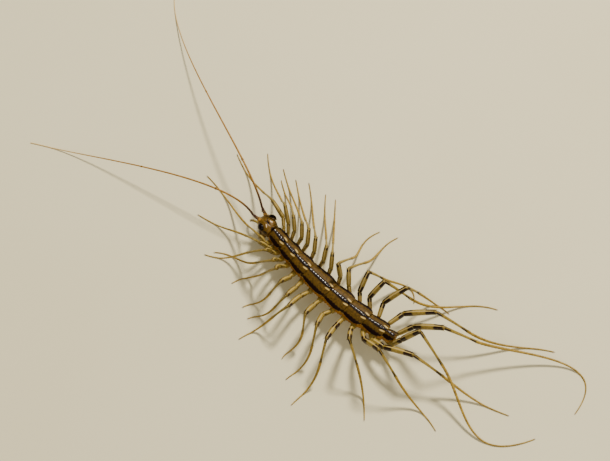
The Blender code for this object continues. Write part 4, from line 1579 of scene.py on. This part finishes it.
def poison_claw(side):
    """The stout joints at the claw's root, with two teeth on the inner side."""
    teeth = swing(POISON_CLAW, side, (0.30, 0.44))
    inward = unit((-side * 0.8, 0.3, 0.5))
    return joined(
        [
            limb_joint(POISON_CLAW, side, -0.22, 0.30, (0.40, 0.38)),
            limb_joint(POISON_CLAW, side, 0.24, 0.44, (0.34, 0.32), dark=0.4),
            limb_joint(POISON_CLAW, side, 0.39, 0.58, (0.30, 0.26), dark=0.6),
            thorns(teeth + 0.25 * inward, inward, 0.22, 0.05, 6, dark=0.8),
        ]
    )


def poison_hook(side):
    """The long curved hook that ends a poison claw."""
    share = np.linspace(0, 1, 40)
    radii = HOOK_RADIUS * np.maximum(1 - share**1.4, 0.03) ** 0.75
    part = tube_part(swing(POISON_CLAW, side, blend(HOOK_FROM, 1.0, share)), radii, 24)
    part[2]["dark"] = share.repeat(24)
    return part


for label, side in SIDES.items():
    node = f"poison_claw_{label}"
    make_piece(f"{node}_joints", poison_claw(side), head_chitin, "head_cuticle", node)
    make_piece(f"{node}_hook", poison_hook(side), claw_chitin, "head_cuticle", node)
print("poison claws:", len(SIDES))

# %% Build the palps and the mouth
PALP = Limb((0.95, 13.95, 2.45), (1.30, 14.90, 2.20), (1.40, 15.50, 0.90))
PALP_BRISTLES = 16
PALP_ROWS = 5
PALP_TWIST = 0.6
PALP_BRISTLE = (0.22, 0.018)


def palp(side):
    """A palp of three joints, bristly towards its end."""
    roots = swing(PALP, side, np.linspace(0.35, 0.98, PALP_BRISTLES))
    ahead, across, above = path_frame(roots)
    parts = [
        limb_joint(PALP, side, -0.15, 0.36, (0.20, 0.18)),
        limb_joint(PALP, side, 0.30, 0.70, (0.17, 0.16), dark=0.3),
        limb_joint(PALP, side, 0.64, 1.0, (0.15, 0.10), dark=0.5),
    ]
    for k in range(PALP_ROWS):
        turn = 2 * pi * k / PALP_ROWS + PALP_TWIST * np.arange(PALP_BRISTLES)[:, None]
        outward = np.cos(turn) * across + np.sin(turn) * above
        ways = ahead + 0.8 * outward
        parts.append(thorns(roots + 0.15 * outward, ways, *PALP_BRISTLE, dark=0.6))
    return joined(parts)


def lump(place, size, side=1, lean=0.0, dark=0.0, rows=28, sides=40):
    """A rounded, slightly squared lump, given by its place and its half sizes."""
    rise = np.linspace(-pi / 2, pi / 2, rows)[:, None]
    turn = (np.arange(sides) * 2 * pi / sides)[None]
    wide = np.maximum(np.cos(rise), 0.03) ** 0.8
    x = size[0] * wide * signed_power(np.cos(turn), 0.8)
    y = size[1] * wide * signed_power(np.sin(turn), 0.8)
    z = size[2] * np.sin(rise) + lean * y
    points = on_head(place, side) + np.stack(np.broadcast_arrays(x, y, z), -1)
    return points.reshape(-1, 3), tube_faces(rows, sides), {"dark": dark}


def mouth_parts():
    """The jaw plate, the upper lip and the pair of jaws between palps and claws."""
    parts = [
        lump((0, 12.1, 2.15), (1.25, 0.85, 0.32)),
        lump((0, 13.75, 2.75), (0.70, 0.35, 0.38), lean=-0.4),
    ]
    for side in SIDES.values():
        parts.append(lump((0.55, 13.35, 2.35), (0.34, 0.55, 0.34), side, lean=-0.2, dark=0.2))
        parts.append(lump((0.30, 14.0, 2.30), (0.22, 0.26, 0.26), side, lean=-0.3, dark=0.5))
    return joined(parts)


for label, side in SIDES.items():
    make_piece(f"palp_{label}_limb", palp(side), leg_chitin, "head_cuticle", f"palp_{label}")
mouth = make_piece("mouth_parts", mouth_parts(), head_chitin, "head_cuticle", "head")
print("mouth parts faces:", len(mouth.data.polygons))

# %% [markdown]
# ## The tail piece
#
# Behind the last plate a small rounded lobe closes the body, with two short feelers under it.

# %% Build the tail piece
def tail_piece():
    """The lobe that closes the body and its two short feelers."""
    y = TERGITES[TAIL].rear
    top = float(back_z(y))
    parts = [lump((0, y + 0.15, top - 1.0), (0.45, 0.42, 0.55), lean=0.3)]
    for side in SIDES.values():
        start = on_head((0.22, y + 0.1, top - 1.45), side)
        places, ends = rounded(1.0, 16, 0.2, 0.4)
        middle = start + np.array((side * 0.06, -0.55, -0.18)) * places[:, None]
        parts.append(tube_part(middle, 0.11 * ends * (1 - 0.4 * places), 14))
    return joined(parts)


make_piece("tail_piece", tail_piece(), flank_skin, "back_plate_cuticle", TRUNK_NODES[TAIL])
print("pieces made:", len(pieces_made))

# %% [markdown]
# ## Floor, light and camera
#
# The animal is photographed from above and behind its left side. A hard light stands to its
# right, a little over half way up, and a bright pale wall all round fills the shadows. A small
# lamp gives the hard light and a broad one on the camera's side the soft fill. The floor is a
# plain sheet of matt card.

# %% Floor
FLOOR_SIZE = 6.0
CARD_CLOUD = 0.04
half = FLOOR_SIZE / 2
floor_mesh = bpy.data.meshes.new("floor")
floor_mesh.from_pydata(
    [(-half, -half, 0), (half, -half, 0), (half, half, 0), (-half, half, 0)], [], [(0, 1, 2, 3)]
)
floor = bpy.data.objects.new("floor", floor_mesh)
bpy.context.scene.collection.objects.link(floor)
card, card_tree, card_shader = start_material("floor_card")
card_place = add(card_tree, "ShaderNodeTexCoord").outputs["Object"]
card_cloud = add(
    card_tree, "ShaderNodeTexNoise", links={"Vector": card_place},
    values={"Scale": 1 / CARD_CLOUD, "Detail": 3.0},
).outputs["Fac"]
card_color = add(
    card_tree, "ShaderNodeMix", data_type="RGBA", links={0: card_cloud},
    values={6: paint("#e2dcb8"), 7: paint("#dbd4ac")},
).outputs[2]
card_tree.links.new(card_color, card_shader.inputs["Base Color"])
card_shader.inputs["Roughness"].default_value = 0.8
floor_mesh.materials.append(card)

# %% Light
AIM = np.array((2.73, 6.0, 7.8))


def lamp(name, direction, distance, size, power, color):
    """A square lamp that faces the animal from a direction and a distance in millimetres."""
    data = bpy.data.lights.new(name, "AREA")
    data.size = size * MM
    data.energy = power
    data.color = paint(color)[:3]
    way = Vector(unit(direction))
    piece = bpy.data.objects.new(name, data)
    piece.location = Vector((AIM + SHIFT) * MM) + way * distance * MM
    piece.rotation_euler = way.to_track_quat("Z", "Y").to_euler()
    bpy.context.scene.collection.objects.link(piece)


lamp("key_lamp", (0.58, 0.13, 0.80), 500, 70, 3.8, "#fff6ea")
lamp("fill_lamp", (-0.35, -0.6, 0.72), 700, 500, 2.1, "#fff4e6")
world = bpy.data.worlds.new("studio")
world.use_nodes = True
sky = world.node_tree.nodes["Background"]
sky.inputs["Color"].default_value = paint("#f2ede2")
sky.inputs["Strength"].default_value = 0.30
bpy.context.scene.world = world

# %% Camera
CAMERA_ELEVATION = 63.0
CAMERA_BEARING = 226.1
CAMERA_DISTANCE = 249.2
LENS = 100.0
SENSOR = 36.0
bearing, elevation = radians(CAMERA_BEARING), radians(CAMERA_ELEVATION)
toward = Vector((cos(bearing) * cos(elevation), sin(bearing) * cos(elevation), sin(elevation)))
right = Vector((0, 0, 1)).cross(toward).normalized()
above = toward.cross(right)
camera_data = bpy.data.cameras.new("camera")
camera_data.lens = LENS
camera_data.sensor_width = SENSOR
camera_data.clip_start = 0.01
camera_data.clip_end = 10
camera = bpy.data.objects.new("camera", camera_data)
turned = Matrix((right, above, toward)).transposed().to_4x4()
spot = Vector((AIM + SHIFT) * MM) + toward * CAMERA_DISTANCE * MM
camera.matrix_world = Matrix.Translation(spot) @ turned
bpy.context.scene.collection.objects.link(camera)
bpy.context.scene.camera = camera

# %% [markdown]
# ## Finish
#
# The number of faces in all the finer pieces is printed.

# %% Count the faces and finish
print("faces in all:", sum(len(piece.data.polygons) for piece in pieces_made))
